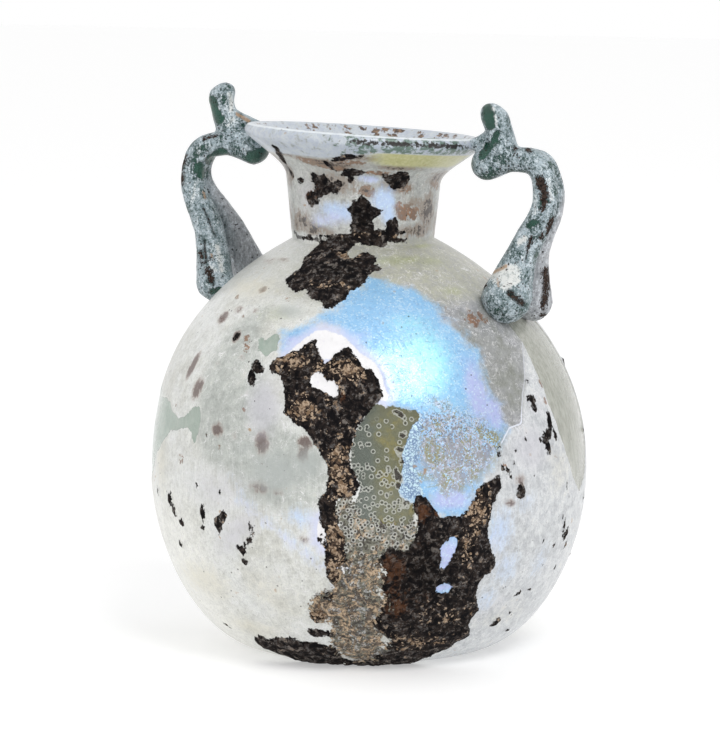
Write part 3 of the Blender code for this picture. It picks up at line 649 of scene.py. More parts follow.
# Dirt in the joint of the neck, then soft tones: warm cream, a lilac blush and grey dusk
seam = np.maximum(stroke((-42, 64.1), (-20, 64.2), (0, 64.4), (14, 64.6), breadth=0.09),
                  stroke((-62, 65.4), (-38, 64.3), breadth=0.05))
warm = stains(
    (-33, 57, 8.0, 3.0, 0.8), (-30, 13, 9.0, 4.0, 0.8), (-46, 30, 4.0, 7.0, 0.7),
    (-4, 13, 6.0, 5.0, 0.6, 30), (-16, 6, 8.0, 3.0, 0.7), (84, 30, 5.0, 6.0, 0.5),
    (70, 8, 8.0, 4.0, 0.4), (-23, 58, 4.0, 2.0, 0.5), (-80, 12, 12.0, 6.0, 0.6),
    (-150, 8, 12.0, 6.0, 0.6), (150, 44, 9.0, 8.0, 0.5), (-170, 30, 8.0, 6.0, 0.5),
)
blush = stains(
    (-4, 41, 4.0, 6.0, 1.0), (-17, 28, 9.0, 5.0, 0.6), (-11, 22, 8.0, 3.0, 0.8, -40),
    (72, 34, 6.0, 5.0, 0.8), (77, 40, 4.0, 3.0, 0.5), (66, 10, 5.0, 4.0, 0.4),
    (-100, 30, 9.0, 9.0, 0.7), (-150, 46, 8.0, 6.0, 0.7), (120, 18, 9.0, 8.0, 0.7),
    (-20, 70, 4.0, 4.0, 0.6),
)
dusk = stains(
    (1, 31.5, 6.0, 4.6, 1.0), (9, 33, 3.5, 3.4, 0.9), (-8, 34.4, 4.0, 3.0, 0.5),
    (-4, 54.4, 4.0, 2.0, 0.8), (-88, 28, 5.0, 6.0, 0.6), (140, 14, 8.0, 4.0, 0.6),
)

# Tones that follow the form: lemon under the lip, cream low on the left, smoke on the neck,
# and the lip itself with its spots, a painted highlight along its rim and the dirt in its mouth
rim_run = outside_run[-10]
yellow = smoothstep(18.0, 45.0, turn) * smoothstep(112.0, 88.0, turn)
yellow = yellow * smoothstep(rim_run - 5.4, rim_run - 3.6, run)
yellow = yellow * smoothstep(rim_run - 0.8, rim_run - 1.5, run) * is_outside
cream = smoothstep(-12.0, -34.0, turn) * smoothstep(-178.0, -120.0, turn)
cream = cream * smoothstep(34.0, 16.0, height) * is_outside
smoky = smoothstep(63.6, 65.5, height) * smoothstep(79.0, 76.5, height) * is_outside
lip_start = rim_run - 1.6 - 2.4 * smoothstep(40.0, 0.0, turn) * smoothstep(-176.0, -110.0, turn)
lip = np.where(is_outside, smoothstep(lip_start, lip_start + 0.9, run),
               smoothstep(FLASK_HEIGHT - 2.4, FLASK_HEIGHT - 0.8, height))
spotted = lip * smoothstep(-10.0, 35.0, turn) * smoothstep(120.0, 80.0, turn)
mouth = (1.0 - is_outside) * smoothstep(NECK_TOP - 4.0, NECK_TOP, height)
# A painted highlight: a bright band along the top of the rolled rim
rim_light = np.exp(-((run - rim_run - 2.0) / 0.30) ** 2) * is_outside

# Grime on the neck, and a dark line under the lip's fold
grimy = stains(
    (86, 68.5, 2.8, 3.6, 1.4), (91, 74, 3.4, 2.0, 1.2), (-48, 74, 3.0, 3.6, 1.3),
    (-15, 65.4, 4.0, 1.0, 1.2), (-25, 76.6, 6.0, 1.4, 1.3), (20, 76.8, 7.0, 1.2, 1.1),
    (112, 66.4, 4.0, 3.0, 1.2), (-62, 67, 3.0, 3.0, 1.1), (150, 70, 6.0, 4.0, 1.2),
    (-140, 70, 5.0, 4.0, 1.2), (-100, 75, 5.0, 2.4, 1.2), (178, 66, 5.0, 1.8, 1.2),
    (2, 72.4, 6.0, 2.6, 0.9), (50, 72.4, 4.0, 1.8, 1.0), (72, 65.4, 5.0, 1.4, 1.2),
    (-30, 66.4, 4.0, 2.0, 1.0), (48, 75.4, 6.0, 0.9, 1.0), (5, 75.4, 6.0, 1.4, 1.1),
    (70, 70, 4.0, 2.0, 0.7), (28, 71.6, 1.6, 1.2, 1.0),
)
fold_line = np.exp(-((run - rim_run - 0.9) / 0.60) ** 2) * is_outside
fold_line = fold_line * smoothstep(5.0, 30.0, turn) * smoothstep(110.0, 70.0, turn)

# Where the blue film is paler: round the neck and on both sides of the dark patches
pale_film = np.maximum.reduce([
    smoothstep(62.0, 66.0, height),
    smoothstep(18.0, 14.0, turn) * smoothstep(46.0, 42.0, height),
    smoothstep(57.0, 59.0, turn) * smoothstep(31.0, 29.0, height),
])
# How strongly a painted highlight shows along the torn edge of the smoky film
edge_share = smoothstep(60.8, 62.2, turn) * smoothstep(53.5, 51.0, height)
edge_share = edge_share * (1.0 - 0.5 * smoothstep(70.0, 72.0, turn))


def store(thing, **fields):
    """Keeps fields on a mesh's points, where its material reads them."""
    for name, values in fields.items():
        layer = thing.data.attributes.new(name, "FLOAT", "POINT")
        layer.data.foreach_set("value", np.asarray(values, dtype=np.float32))


store(
    flask, crust=crust, char=char, tan_grit=tan_grit, rust=rust, scab=scab, chalk=chalk, bare=bare,
    film=film, lilac=lilac, pearl=pearl, gold=gold, frost=frost, haze=haze, smoke=smoke, straw=straw,
    right=right, warm=warm, blush=blush, green=green, brown=brown, ochre=ochre, yellow=yellow,
    cream=cream, smoky=smoky, lip=lip, spotted=spotted, mouth=mouth, fold=fold_line,
    rim_light=rim_light, grimy=grimy, dusk=dusk, lower_scab=smoothstep(22.0, 17.0, height),
    seam=seam, pale_film=pale_film, edge=smoke_film, edge_share=edge_share, blotch=blotch,
    olive=olive, ringed=ringed_share, sparkle=sparkle, window=in_window,
    flat_x=np.radians(turn - 30.0) * BODY_RADIUS, flat_y=run)

# The skin is worked: crust and scale stand up from it, bare and chalky spots sink, and the
# bubble wavers
CRUST_RISE = 0.34
rough_lumps = lumps(1.5, 3, 3.0)
lift = CRUST_RISE * smoothstep(-0.15, 0.55, crust) * (1.0 + 0.75 * rough_lumps)
lift += 0.14 * smoothstep(-0.1, 0.5, scab) * (1.0 + 1.2 * rough_lumps)
lift -= 0.16 * smoothstep(-0.1, 0.4, np.maximum(bare, chalk)) * (crust < 0)
lift += 0.12 * lumps(17.0, 2, 2.0)
fold = np.exp(-((run - rim_run + 1.5) / 0.42) ** 2) * (0.8 + 0.5 * lumps(6.0, 2, 7.0))
lift -= 0.22 * fold
seat = smoothstep(BASE_RADIUS - 0.6, BASE_RADIUS + 2.2, girth)
seat = seat * smoothstep(-1.0, 1.5, upright[:, 2] + (girth - 17))
lift = np.where(is_outside, lift * seat, 0.04 * rough_lumps)
across = np.stack([np.cos(np.radians(turn - 90.0)), np.sin(np.radians(turn - 90.0))], axis=1)
normals = outline_normals[station]
direction = np.column_stack([across * normals[:, :1], normals[:, 1]])
worked = upright + direction * lift[:, None]
worked[:, 2] = np.maximum(worked[:, 2], 0.0)


def lean_at(places):
    """How far the hand-set neck and the dipping lip carry each upright place."""
    shift = smoothstep(BELLY_HEIGHT, JOINT_HEIGHT, places[:, 2])
    dip = smoothstep(JOINT_HEIGHT, NECK_TOP, places[:, 2]) * (places[:, 0] + places[:, 1]) * LIP_DIP
    return np.stack([NECK_SHIFT[0] * shift, NECK_SHIFT[1] * shift, -dip], axis=1)


move_points(flask, worked + lean_at(worked))
bpy.ops.object.shade_smooth()


class Wire:
    """A node's output that Python's arithmetic works on."""

    def __init__(self, finish, socket):
        self.finish = finish
        self.socket = socket

    def maths(self, operation, *values):
        return self.finish.node("Math", {"operation": operation}, dict(enumerate(values)))

    def __add__(self, other):
        return self.maths("ADD", self, other)

    def __sub__(self, other):
        return self.maths("SUBTRACT", self, other)

    def __rsub__(self, other):
        return self.maths("SUBTRACT", other, self)

    def __mul__(self, other):
        return self.maths("MULTIPLY", self, other)

    def __truediv__(self, other):
        return self.maths("DIVIDE", self, other)

    def __abs__(self):
        return self.maths("ABSOLUTE", self)

    def largest(self, other):
        return self.maths("MAXIMUM", self, other)

    def step(self, low, high):
        """0 below the low value, 1 above the high one, and smooth between."""
        settings = {"interpolation_type": "SMOOTHSTEP"}
        return self.finish.node("MapRange", settings, {"Value": self, "From Min": low, "From Max": high})

    __radd__ = __add__


class Finish:
    """One material and the nodes that it is made of."""

    def __init__(self, name):
        self.material = bpy.data.materials.new(name)
        self.material.use_nodes = True
        self.tree = self.material.node_tree
        self.tree.nodes.clear()
        self.place = self.node("TexCoord", {}, {}, "Object")

    def node(self, kind, settings, inputs, output=0):
        made = self.tree.nodes.new("ShaderNode" + kind)
        for name, value in settings.items():
            setattr(made, name, value)
        for name, value in inputs.items():
            if isinstance(value, Wire):
                self.tree.links.new(value.socket, made.inputs[name])
            elif isinstance(value, tuple) and made.inputs[name].type == "RGBA":
                made.inputs[name].default_value = (*value, 1.0)
            else:
                made.inputs[name].default_value = value
        return Wire(self, made.outputs[output])

    def field(self, name):
        return self.node("Attribute", {"attribute_name": name}, {}, "Fac")

    def stretched(self, x, y, z):
        """The object's own coordinates in millimetres, drawn out along an axis."""
        return self.node("Mapping", {}, {"Vector": self.place, "Scale": (x / MM, y / MM, z / MM)})

    def cloud(self, size, detail=2.0, roughness=0.5, where=None, warp=0.0):
        """Noise from 0 to 1, with lumps of about this size in millimetres."""
        inputs = {"Vector": where or self.place, "Scale": 1.0 / size if where else 1.0 / (size * MM),
                  "Detail": detail, "Roughness": roughness, "Distortion": warp}
        return self.node("TexNoise", {}, inputs)

    def jostled(self, size, amount):
        """Coordinates in millimetres that noise has pushed about, so that cells look broken."""
        scale = 1.0 / (size * MM)
        push = self.node("TexNoise", {}, {"Vector": self.place, "Scale": scale, "Detail": 2.0}, "Color")
        return self.node("VectorMath", {"operation": "MULTIPLY_ADD"},
                         {0: push, 1: (amount, amount, amount), 2: self.stretched(1.0, 1.0, 1.0)})

    def cells(self, size, feature="F1", output="Distance", where=None, dimensions="3D"):
        inputs = {"Vector": where or self.place, "Scale": 1.0 / size if where else 1.0 / (size * MM)}
        settings = {"feature": feature, "voronoi_dimensions": dimensions}
        return self.node("TexVoronoi", settings, inputs, output)

    def blend(self, factor, under, over):
        mixed = {"Factor": factor, 6: under, 7: over}
        return self.node("Mix", {"data_type": "RGBA"}, mixed, 2)

    def toned(self, colour, factor):
        """A colour made lighter or darker."""
        return self.node("VectorMath", {"operation": "SCALE"}, {0: colour, "Scale": factor})

    def bumped(self, height, distance):
        return self.node("Bump", {}, {"Height": height, "Distance": distance * MM}, "Normal")

    def wear(self, thing, shader):
        output = self.tree.nodes.get("Material Output") or self.tree.nodes.new("ShaderNodeOutputMaterial")
        self.tree.links.new(shader.socket, output.inputs["Surface"])
        thing.data.materials.clear()
        thing.data.materials.append(self.material)


# The flask's skin, as centuries in the ground left it. From below: pale glass, a milky
# decayed layer with soft stains, thin films that play blue, chipped scale, and dark crust.
CREAM = (0.78, 0.78, 0.73)
MILK = (0.64, 0.64, 0.585)
OLD_IVORY = (0.56, 0.51, 0.43)
WARM_CREAM = (0.70, 0.66, 0.52)
BLUSH = (0.60, 0.59, 0.64)
PALE = (0.71, 0.725, 0.715)
ENAMEL = (0.50, 0.52, 0.55)
ENAMEL_WHITE = (0.63, 0.65, 0.66)
MIST = (0.45, 0.475, 0.445)
HAZE = (0.54, 0.56, 0.525)
DUSK = (0.41, 0.44, 0.425)
SMOKE = (0.26, 0.27, 0.24)
SMOKE_STREAK = (0.52, 0.53, 0.52)
LILAC_GREY = (0.335, 0.34, 0.365)
ASH = (0.36, 0.36, 0.345)
STRAW = (0.50, 0.50, 0.40)
SKY = (0.27, 0.55, 0.86)
PALE_SKY = (0.46, 0.68, 0.90)
DEEP_SKY = (0.20, 0.46, 0.72)
BRIGHT_GRAIN = (0.62, 0.84, 0.98)
DARK_GRAIN = (0.18, 0.30, 0.55)
LILAC = (0.47, 0.53, 0.86)
PALE_LILAC = (0.66, 0.72, 0.93)
HALO_LILAC = (0.66, 0.70, 0.93)
PEARL = (0.38, 0.86, 0.92)
SWIRL_GREY = (0.34, 0.34, 0.40)
SWIRL_OLIVE = (0.31, 0.31, 0.22)
SWIRL_GOLD = (0.34, 0.32, 0.125)
SWIRL_EDGE = (0.66, 0.70, 0.90)
GLITTER_BLUE = (0.36, 0.63, 0.96)
GLITTER_DARK = (0.09, 0.13, 0.22)
FROST_DEEP = (0.17, 0.27, 0.46)
FROST_BLUE = (0.52, 0.70, 0.84)
FROST_LIGHT = (0.66, 0.88, 0.95)
CRACKLE_WHITE = (0.80, 0.88, 0.95)
SPARK = (0.75, 0.92, 1.0)
FILM_RIM = (0.80, 0.83, 0.92)
CHALK = (0.90, 0.89, 0.90)
CHALK_SHADE = (0.74, 0.70, 0.82)
OCHRE = (0.30, 0.13, 0.042)
DARK_OCHRE = (0.15, 0.072, 0.035)
STAIN_EDGE = (0.37, 0.30, 0.26)
UMBER = (0.105, 0.055, 0.045)
SEAM_DIRT = (0.03, 0.022, 0.02)
NECK_STAIN = (0.20, 0.145, 0.11)
NECK_GRIME = (0.27, 0.205, 0.155)
NECK_BLACK = (0.05, 0.038, 0.032)
FRECKLE = (0.40, 0.24, 0.11)
MOSS = (0.40, 0.42, 0.25)
LEMON = (0.50, 0.49, 0.20)
PALE_LEMON = (0.62, 0.60, 0.30)
LIP_BLUE = (0.46, 0.51, 0.60)
LIP_PALE = (0.62, 0.66, 0.68)
LIP_GREY = (0.25, 0.27, 0.27)
RIM_WHITE = (0.80, 0.85, 0.88)
LIP_GREEN = (0.09, 0.16, 0.12)
MOUTH_DARK = (0.06, 0.035, 0.025)
MOUTH_BROWN = (0.24, 0.15, 0.09)
GLASS_GREEN = (0.44, 0.55, 0.47)
PALE_GLASS = (0.60, 0.67, 0.60)
GLASS_STREAK = (0.26, 0.34, 0.27)
DULL_GLASS = (0.40, 0.41, 0.35)
PALE_DULL_GLASS = (0.60, 0.60, 0.53)
SLATE_GREEN = (0.15, 0.17, 0.145)
GLASS_OLIVE = (0.20, 0.20, 0.12)
GOLD_OLIVE = (0.31, 0.27, 0.10)
RING_WHITE = (0.60, 0.61, 0.55)
BLOTCH_BROWN = (0.045, 0.034, 0.026)
PIT_BLACK = (0.022, 0.019, 0.018)
SCALE_DARK = (0.05, 0.042, 0.034)
SCALE_GREY = (0.20, 0.20, 0.155)
SCALE_PALE = (0.47, 0.46, 0.42)
SCALE_UMBER = (0.075, 0.042, 0.022)
SCALE_TAN = (0.60, 0.43, 0.27)
SCALE_MIST = (0.34, 0.35, 0.34)
SCALE_WHITE = (0.66, 0.66, 0.65)
SCALE_RING = (0.60, 0.60, 0.56)
SCALE_PIT = (0.04, 0.032, 0.028)
CRUMB_BROWN = (0.10, 0.075, 0.055)
CRUST_BLACK = (0.007, 0.0065, 0.0075)
CRUST_BROWN = (0.050, 0.037, 0.031)
CRUST_GREY = (0.125, 0.118, 0.115)
CRUST_ASH = (0.23, 0.205, 0.185)
CRUST_UMBER = (0.17, 0.115, 0.08)
TAN = (0.22, 0.145, 0.09)
PALE_TAN = (0.49, 0.37, 0.265)
RUST_RED = (0.11, 0.045, 0.02)

skin = Finish("weathered_glass")
fine = skin.cloud(0.45, 3.0) - 0.5
medium = skin.cloud(1.5, 4.0, 0.6) - 0.5
broad = skin.cloud(7.0, 4.0, 0.6) - 0.5
mottle = skin.cloud(0.9, 4.0, 0.75, warp=0.8) - 0.5
streaks = skin.cloud(1.0, 4.0, 0.65, skin.stretched(1.9, 1.9, 0.16)) - 0.5
hairlines = skin.cloud(1.0, 3.0, 0.7, skin.stretched(5.5, 5.5, 0.25)) - 0.5

# How far each layer covers the next, with edges that noise has frayed
near_scab = (skin.field("scab") - UNDER_CRUST).step(-2.6, -0.6) * skin.field("lower_scab")
broken_edge = near_scab * (medium * 5.0 + mottle * 3.0 - 0.2)
crust_mask = (skin.field("crust") + fine * 0.9 + medium * 0.5 + broken_edge).step(-0.06, 0.06)
scab_mask = (skin.field("scab") + fine * 3.0 + medium * 2.6 + mottle * 1.5).step(-0.15, 0.15)
chalk_mask = (skin.field("chalk") + fine * 0.5 + medium * 0.5).step(-0.10, 0.14)
bare_mask = (skin.field("bare") + fine * 0.5 + medium * 0.5).step(-0.06, 0.06)

# The milky layer: cream low on the left, grey-green haze in the middle, enamel and smoke on the right
milky = skin.blend((broad * 1.8 + 0.5 + medium * 0.8).step(0.0, 1.0), MILK, PALE)
enamel = skin.blend((medium * 1.3 + mottle * 0.8 + 0.5).step(0.15, 0.85), ENAMEL, ENAMEL_WHITE)
milky = skin.blend(skin.field("right") * 0.9, milky, enamel)
milky = skin.blend((skin.field("cream") + medium * 0.4).step(0.0, 1.0), milky, CREAM)
haze_share = (skin.field("haze") + broad * 0.9 + mottle * 0.6).step(0.05, 1.0)
milky = skin.blend(haze_share, milky, skin.blend((broad * 1.6 + medium + 0.5).step(0.1, 0.9), MIST, HAZE))
smoke_share = (skin.field("smoke") + broad * 0.5 + mottle * 0.7).step(0.1, 0.9)
smoke_tone = skin.blend((broad * 1.6 + medium * 0.7 + 0.5).step(0.1, 0.9), SMOKE, LILAC_GREY)
smoke_tone = skin.blend((streaks * 2.0 + mottle * 1.5).step(0.15, 0.8) * 0.5, smoke_tone, SMOKE_STREAK)
milky = skin.blend(smoke_share, milky, smoke_tone)
straw_share = (skin.field("straw") + medium * 0.8 + broad * 0.5).step(0.1, 0.9)
milky = skin.blend(straw_share, milky, skin.blend((mottle * 1.6 + 0.5).step(0.2, 0.8), STRAW, ASH))
ash_share = (skin.field("smoky") + medium * 0.9 + streaks * 0.5).step(0.1, 1.0)
milky = skin.blend(ash_share * 0.85, milky, skin.blend((mottle * 2.0 + 0.5).step(0.1, 0.9), ASH, HAZE))
milky = skin.blend((skin.field("green") * 0.8 + medium * 0.6).step(0.1, 0.9), milky, MOSS)
milky = skin.blend((hairlines * 1.8 + streaks * 1.6 + 0.05).step(0.2, 1.0) * 0.45, milky, CREAM)
milky = skin.blend((hairlines * -1.6 - streaks * 1.4 + 0.02).step(0.2, 1.0) * 0.35, milky, SMOKE)
grain = skin.cloud(0.28, 3.0, 0.7) - 0.5
milky = skin.toned(milky, mottle * 0.7 + hairlines * 0.6 + grain * 0.5 + medium * 0.45 + broad * 0.35 + 1.0)
milky = skin.blend((medium * 1.6 + broad * 1.2 + mottle * 0.8).step(0.15, 0.75) * 0.5, milky, OLD_IVORY)
veins = abs(skin.cloud(2.6, 4.0, 0.65, warp=1.4) - 0.5).step(0.016, 0.0)
milky = skin.blend(veins * (medium + broad + 0.5).step(0.25, 0.65) * 0.85, milky, CHALK)
wisps = abs(skin.cloud(1.1, 3.0, 0.6, warp=2.5) - 0.5).step(0.02, 0.0)
wisps = wisps * (medium * 1.5 + broad + 0.2).step(0.3, 0.7)
milky = skin.blend(wisps * 0.55, milky, CHALK)
ochre_share = (skin.field("ochre") * (mottle * 4.5 + fine * 3.0 + medium * 3.0 + 1.1)).step(0.45, 0.85)
ochre_tone = skin.blend((mottle * 3.0 + 0.5).step(0.2, 0.8), OCHRE, DARK_OCHRE)
milky = skin.blend(ochre_share * 0.85, milky, ochre_tone)
brown_share = (skin.field("brown") * (mottle * 3.0 + medium * 2.0 + streaks * 2.0 + 1.5)).step(0.10, 1.55)
brown_tone = skin.blend(brown_share.step(0.2, 0.8), STAIN_EDGE, UMBER)
milky = skin.blend(brown_share.step(0.0, 0.6) * 0.85, milky, brown_tone)
milky = skin.blend((skin.field("dusk") + mottle * 0.6).step(0.1, 1.0) * 0.8, milky, DUSK)
warm_share = (skin.field("warm") + medium * 0.9 + mottle * 0.5).step(0.1, 1.0)
milky = skin.blend(warm_share * 0.55, milky, WARM_CREAM)
blush_share = (skin.field("blush") + medium * 0.6 + mottle * 0.4).step(0.1, 1.0)
milky = skin.blend(blush_share * 0.7, milky, BLUSH)
milky = skin.blend((skin.field("seam") + mottle + fine).step(0.35, 0.75) * 0.9, milky, SEAM_DIRT)
stain = (skin.field("smoky") * 0.4 + broad * 1.3 + medium * 1.3 + mottle).step(0.55, 0.95)
milky = skin.blend(stain * 0.7, milky, NECK_STAIN)
smudged = skin.field("grimy") * (mottle * 4.0 + streaks * 2.4 + medium * 2.6 + 1.25)
milky = skin.blend(smudged.step(0.35, 0.95) * 0.75, milky, NECK_GRIME)
milky = skin.blend(smudged.step(1.15, 1.45) * 0.9, milky, NECK_BLACK)
lemon_tone = skin.blend((streaks * 3.0 + 0.5).step(0.1, 0.9), LEMON, PALE_LEMON)
milky = skin.blend((skin.field("yellow") + mottle * 0.5).step(0.1, 0.9) * 0.9, milky, lemon_tone)

# The lip: pale blue-grey, with the green of the glass in spots, a painted highlight along the rim and dirt
# along the fold
lip_tone = skin.blend((mottle * 2.2 + 0.5).step(0.1, 0.9), LIP_BLUE, LIP_PALE)
lip_tone = skin.blend((mottle * 1.8 + medium * 1.6).step(0.02, 0.40) * 0.7, lip_tone, LIP_GREY)
lip_spots = (skin.field("spotted") * 0.5 + mottle * 1.6 + medium * 1.4).step(0.36, 0.58)
lip_tone = skin.blend(lip_spots * 0.88, lip_tone, LIP_GREEN)
lip_tone = skin.blend((skin.field("rim_light") + mottle).step(0.35, 0.7) * 0.8, lip_tone, RIM_WHITE)
milky = skin.blend((skin.field("lip") + mottle * 0.4).step(0.2, 0.8), milky, lip_tone)
mouth_dirt = (skin.field("mouth") * 0.5 + medium * 1.6 + broad * 0.8 + mottle * 0.8).step(0.60, 0.68)
mouth_tone = skin.blend((fine * 2.0 + 0.5).step(0.3, 0.7), MOUTH_DARK, MOUTH_BROWN)
milky = skin.blend(mouth_dirt, milky, mouth_tone)
fold_dirt = (skin.field("fold") * 0.9 + mottle * 2.0 + fine * 1.5).step(0.56, 0.76)
milky = skin.blend(fold_dirt, milky, PIT_BLACK)

# The films that play blue, with sparkling grains, and the gold-grey swirl within them
grains = skin.node("SeparateColor", {}, {"Color": skin.cells(0.30, "F1", "Color", skin.jostled(0.5, 0.4))})
hue = skin.blend((skin.field("lilac") + medium * 0.7 + broad * 0.5).step(0.1, 0.9), SKY, LILAC)
# The pearl field also brings the painted highlight on the shoulder
hue = skin.blend((skin.field("pearl") + streaks * 0.5 + mottle * 0.5).step(0.05, 1.05), hue, PEARL)
shimmer = skin.cloud(2.2, 5.0, 0.7, skin.stretched(1.0, 1.0, 0.6), 1.2) - 0.5
hue = skin.blend((shimmer * 2.2 + 0.15).step(0.2, 0.8) * 0.55, hue, PALE_SKY)
hue = skin.blend((shimmer * -2.2 + 0.05).step(0.2, 0.8) * 0.45, hue, DEEP_SKY)
hue = skin.blend((grains + medium * 0.6).step(0.70, 1.0) * 0.35, hue, BRIGHT_GRAIN)
hue = skin.blend((grains + medium * 0.6).step(0.15, 0.0) * 0.30, hue, DARK_GRAIN)
hue = skin.blend(skin.field("pale_film") * 0.62, hue, PALE_LILAC)
swirl = skin.cloud(3.2, 4.0, 0.6, warp=1.5) - 0.5
golden = skin.blend((swirl * 2.0 + mottle + 0.5).step(0.2, 0.8), SWIRL_GREY, SWIRL_OLIVE)
golden = skin.blend((swirl * 2.0 + medium * 1.4 + mottle * 1.2).step(0.02, 0.40) * 0.85, golden, SWIRL_GOLD)
tiny = skin.node("SeparateColor", {}, {"Color": skin.cells(0.2, "F1", "Color", skin.jostled(0.4, 0.3))})
glitter = tiny + medium * 0.9 + skin.field("sparkle") * 0.30
golden = skin.blend(glitter.step(0.72, 0.98) * 0.9, golden, GLITTER_BLUE)
shaded_grains = (tiny - medium * 0.8 - skin.field("sparkle") * 0.22).step(0.10, -0.05)
golden = skin.blend(shaded_grains * 0.8, golden, GLITTER_DARK)
golden = skin.blend(abs(swirl).step(0.030, 0.0) * 0.7, golden, SWIRL_EDGE)
hue = skin.blend((skin.field("gold") + swirl * 1.4 + mottle * 0.6).step(0.15, 0.95), hue, golden)
beads = skin.cells(0.42, "DISTANCE_TO_EDGE", where=skin.jostled(0.8, 0.3)).step(0.03, 0.22)
frosted = skin.blend(beads, FROST_DEEP, FROST_BLUE)
frosted = skin.blend(grains.step(0.75, 0.9) * 0.8, frosted, FROST_LIGHT)
film_share = (skin.field("film") + medium * 0.6 + streaks * 0.5 + mottle * 0.4).step(0.15, 0.85)
painted = skin.blend(film_share * 0.95, milky, hue)
painted = skin.blend((skin.field("frost") + fine * 0.8 + medium * 0.8).step(0.4, 0.6), painted, frosted)

# Fine crackle, painted glints, pits and freckles over the milky layer and the films
crackle = abs(skin.cloud(1.5, 4.0, 0.7, warp=1.8) - 0.5).step(0.013, 0.0)
crackle = crackle * (broad + medium + 0.45).step(0.30, 0.65)
painted = skin.blend(crackle * film_share * 0.6, painted, CRACKLE_WHITE)
# Painted glints: tiny bright specks scattered over the films
painted = skin.blend(tiny.step(0.90, 0.96) * film_share * 0.45, painted, SPARK)
pits = skin.cells(1.7).step(0.11, 0.07)
painted = skin.blend(pits * (medium + 0.55).step(0.5, 0.7), painted, PIT_BLACK)
dots = skin.cells(2.6, where=skin.jostled(1.5, 1.5)).step(0.13, 0.07)
painted = skin.blend(dots * (broad + 0.5).step(0.5, 0.65) * 0.8, painted, FRECKLE)
# A painted highlight along the torn edge of the smoky film
film_edge = abs(skin.field("edge") + fine * 0.25).step(0.17, 0.06) * skin.field("edge_share")
painted = skin.blend(film_edge * 0.85, painted, FILM_RIM)
halo = (skin.field("chalk") + medium * 1.2 + fine).step(-2.0, -0.1)
painted = skin.blend(halo * 0.75, painted, HALO_LILAC)
painted = skin.blend(chalk_mask, painted, skin.blend(mottle.step(0.10, 0.22) * 0.5, CHALK, CHALK_SHADE))


def ringed(spacing, shift):
    """Rings left by decay that spread from points, and the dark hole in the middle of each."""
    around, up = skin.field("flat_x") + shift, skin.field("flat_y") - shift
    flat = skin.node("CombineXYZ", {}, {"X": around, "Y": up})
    reach = skin.cells(spacing, where=flat, dimensions="2D")
    chance = skin.node("SeparateColor", {}, {"Color": skin.cells(spacing, "F1", "Color", flat, "2D")})
    kept = (chance + skin.field("ringed")).step(0.98, 1.02)
    middle = (chance * 0.10 + 0.22) / spacing
    ring = abs(reach - middle).step(0.105 / spacing, 0.045 / spacing)
    hole = reach.step(0.17 / spacing, 0.10 / spacing)
    return kept * ring, kept * hole


wide_rings, wide_holes = ringed(1.02, 0.0)
more_rings, more_holes = ringed(1.37, 5.3)
rings = wide_rings.largest(more_rings)
holes = wide_holes.largest(more_holes)
flow = skin.cloud(3.0, 3.0, 0.6) - 0.5
window = skin.blend((skin.field("olive") + flow * 1.2).step(0.1, 0.9), SLATE_GREEN, GLASS_OLIVE)
gold_share = (skin.field("olive") * 0.5 + flow * 2.0 + medium * 0.5).step(0.35, 0.9)
window = skin.blend(gold_share, window, GOLD_OLIVE)
window = skin.blend((mottle * 2.0).step(0.3, 0.9) * 0.4, window, HAZE)
window = skin.blend(rings * 0.9, window, RING_WHITE)
window = skin.blend(holes, window, PIT_BLACK)
blotch_rim = abs(skin.field("blotch") + fine * 0.5 + 0.14).step(0.10, 0.05)
window = skin.blend(blotch_rim * 0.8, window, RING_WHITE)
window = skin.blend((skin.field("blotch") + fine * 0.5).step(-0.10, 0.02), window, BLOTCH_BROWN)
clear_tone = skin.blend((broad * 1.6 + streaks * 1.6 + 0.5).step(0.0, 1.0), GLASS_GREEN, PALE_GLASS)
clear_tone = skin.blend((hairlines * 1.8 + streaks).step(0.1, 0.5) * 0.5, clear_tone, GLASS_STREAK)
dull_tone = skin.blend((streaks * 2.5 + 0.5).step(0.1, 0.9), DULL_GLASS, PALE_DULL_GLASS)
clear_tone = skin.blend(skin.field("right"), clear_tone, dull_tone)
painted = skin.blend(bare_mask, painted, skin.blend(skin.field("window"), clear_tone, window))

# The scab: scale in chips of grey, brown and tan, with dark crumbs and pits
broken = skin.jostled(0.7, 0.9)
coarse_chips = skin.node("SeparateColor", {}, {"Color": skin.cells(0.62, "F1", "Color", broken)})
small_chips = skin.node("SeparateColor", {}, {"Color": skin.cells(0.30, "F1", "Color", broken)})
clods = skin.cloud(1.1, 4.0, 0.7, warp=0.5) - 0.5
scale_pits = skin.cells(0.62, where=skin.jostled(0.8, 0.5))
patches = skin.cloud(1.8, 4.0, 0.65, warp=1.5) - 0.5
lower = skin.field("lower_scab")
scale_tone = small_chips * 0.34 + clods * 1.6 + patches * 2.2 + medium * 1.5 + 0.32
scab_colour = skin.blend(scale_tone.step(0.10, 0.45), SCALE_DARK, SCALE_GREY)
scab_colour = skin.blend(scale_tone.step(0.50, 0.95), scab_colour, SCALE_PALE)
brown_scale = lower * 0.45 + skin.field("tan_grit") * 0.3 + patches * 3.4 + medium * 2.6 + fine - 0.12
brown_scale = brown_scale.step(0.0, 0.5)
tan_scale = skin.blend(scale_tone.step(0.25, 0.80), SCALE_UMBER, SCALE_TAN)
scab_colour = skin.blend(brown_scale * 0.85, scab_colour, tan_scale)
frosty = (patches * -2.6 + medium * 1.4 + mottle * 1.5 + lower * 0.10).step(0.20, 0.5)
frost_scale = skin.blend((fine * 3.0 + 0.5).step(0.1, 0.9), SCALE_MIST, SCALE_WHITE)
scab_colour = skin.blend(frosty * 0.85, scab_colour, frost_scale)
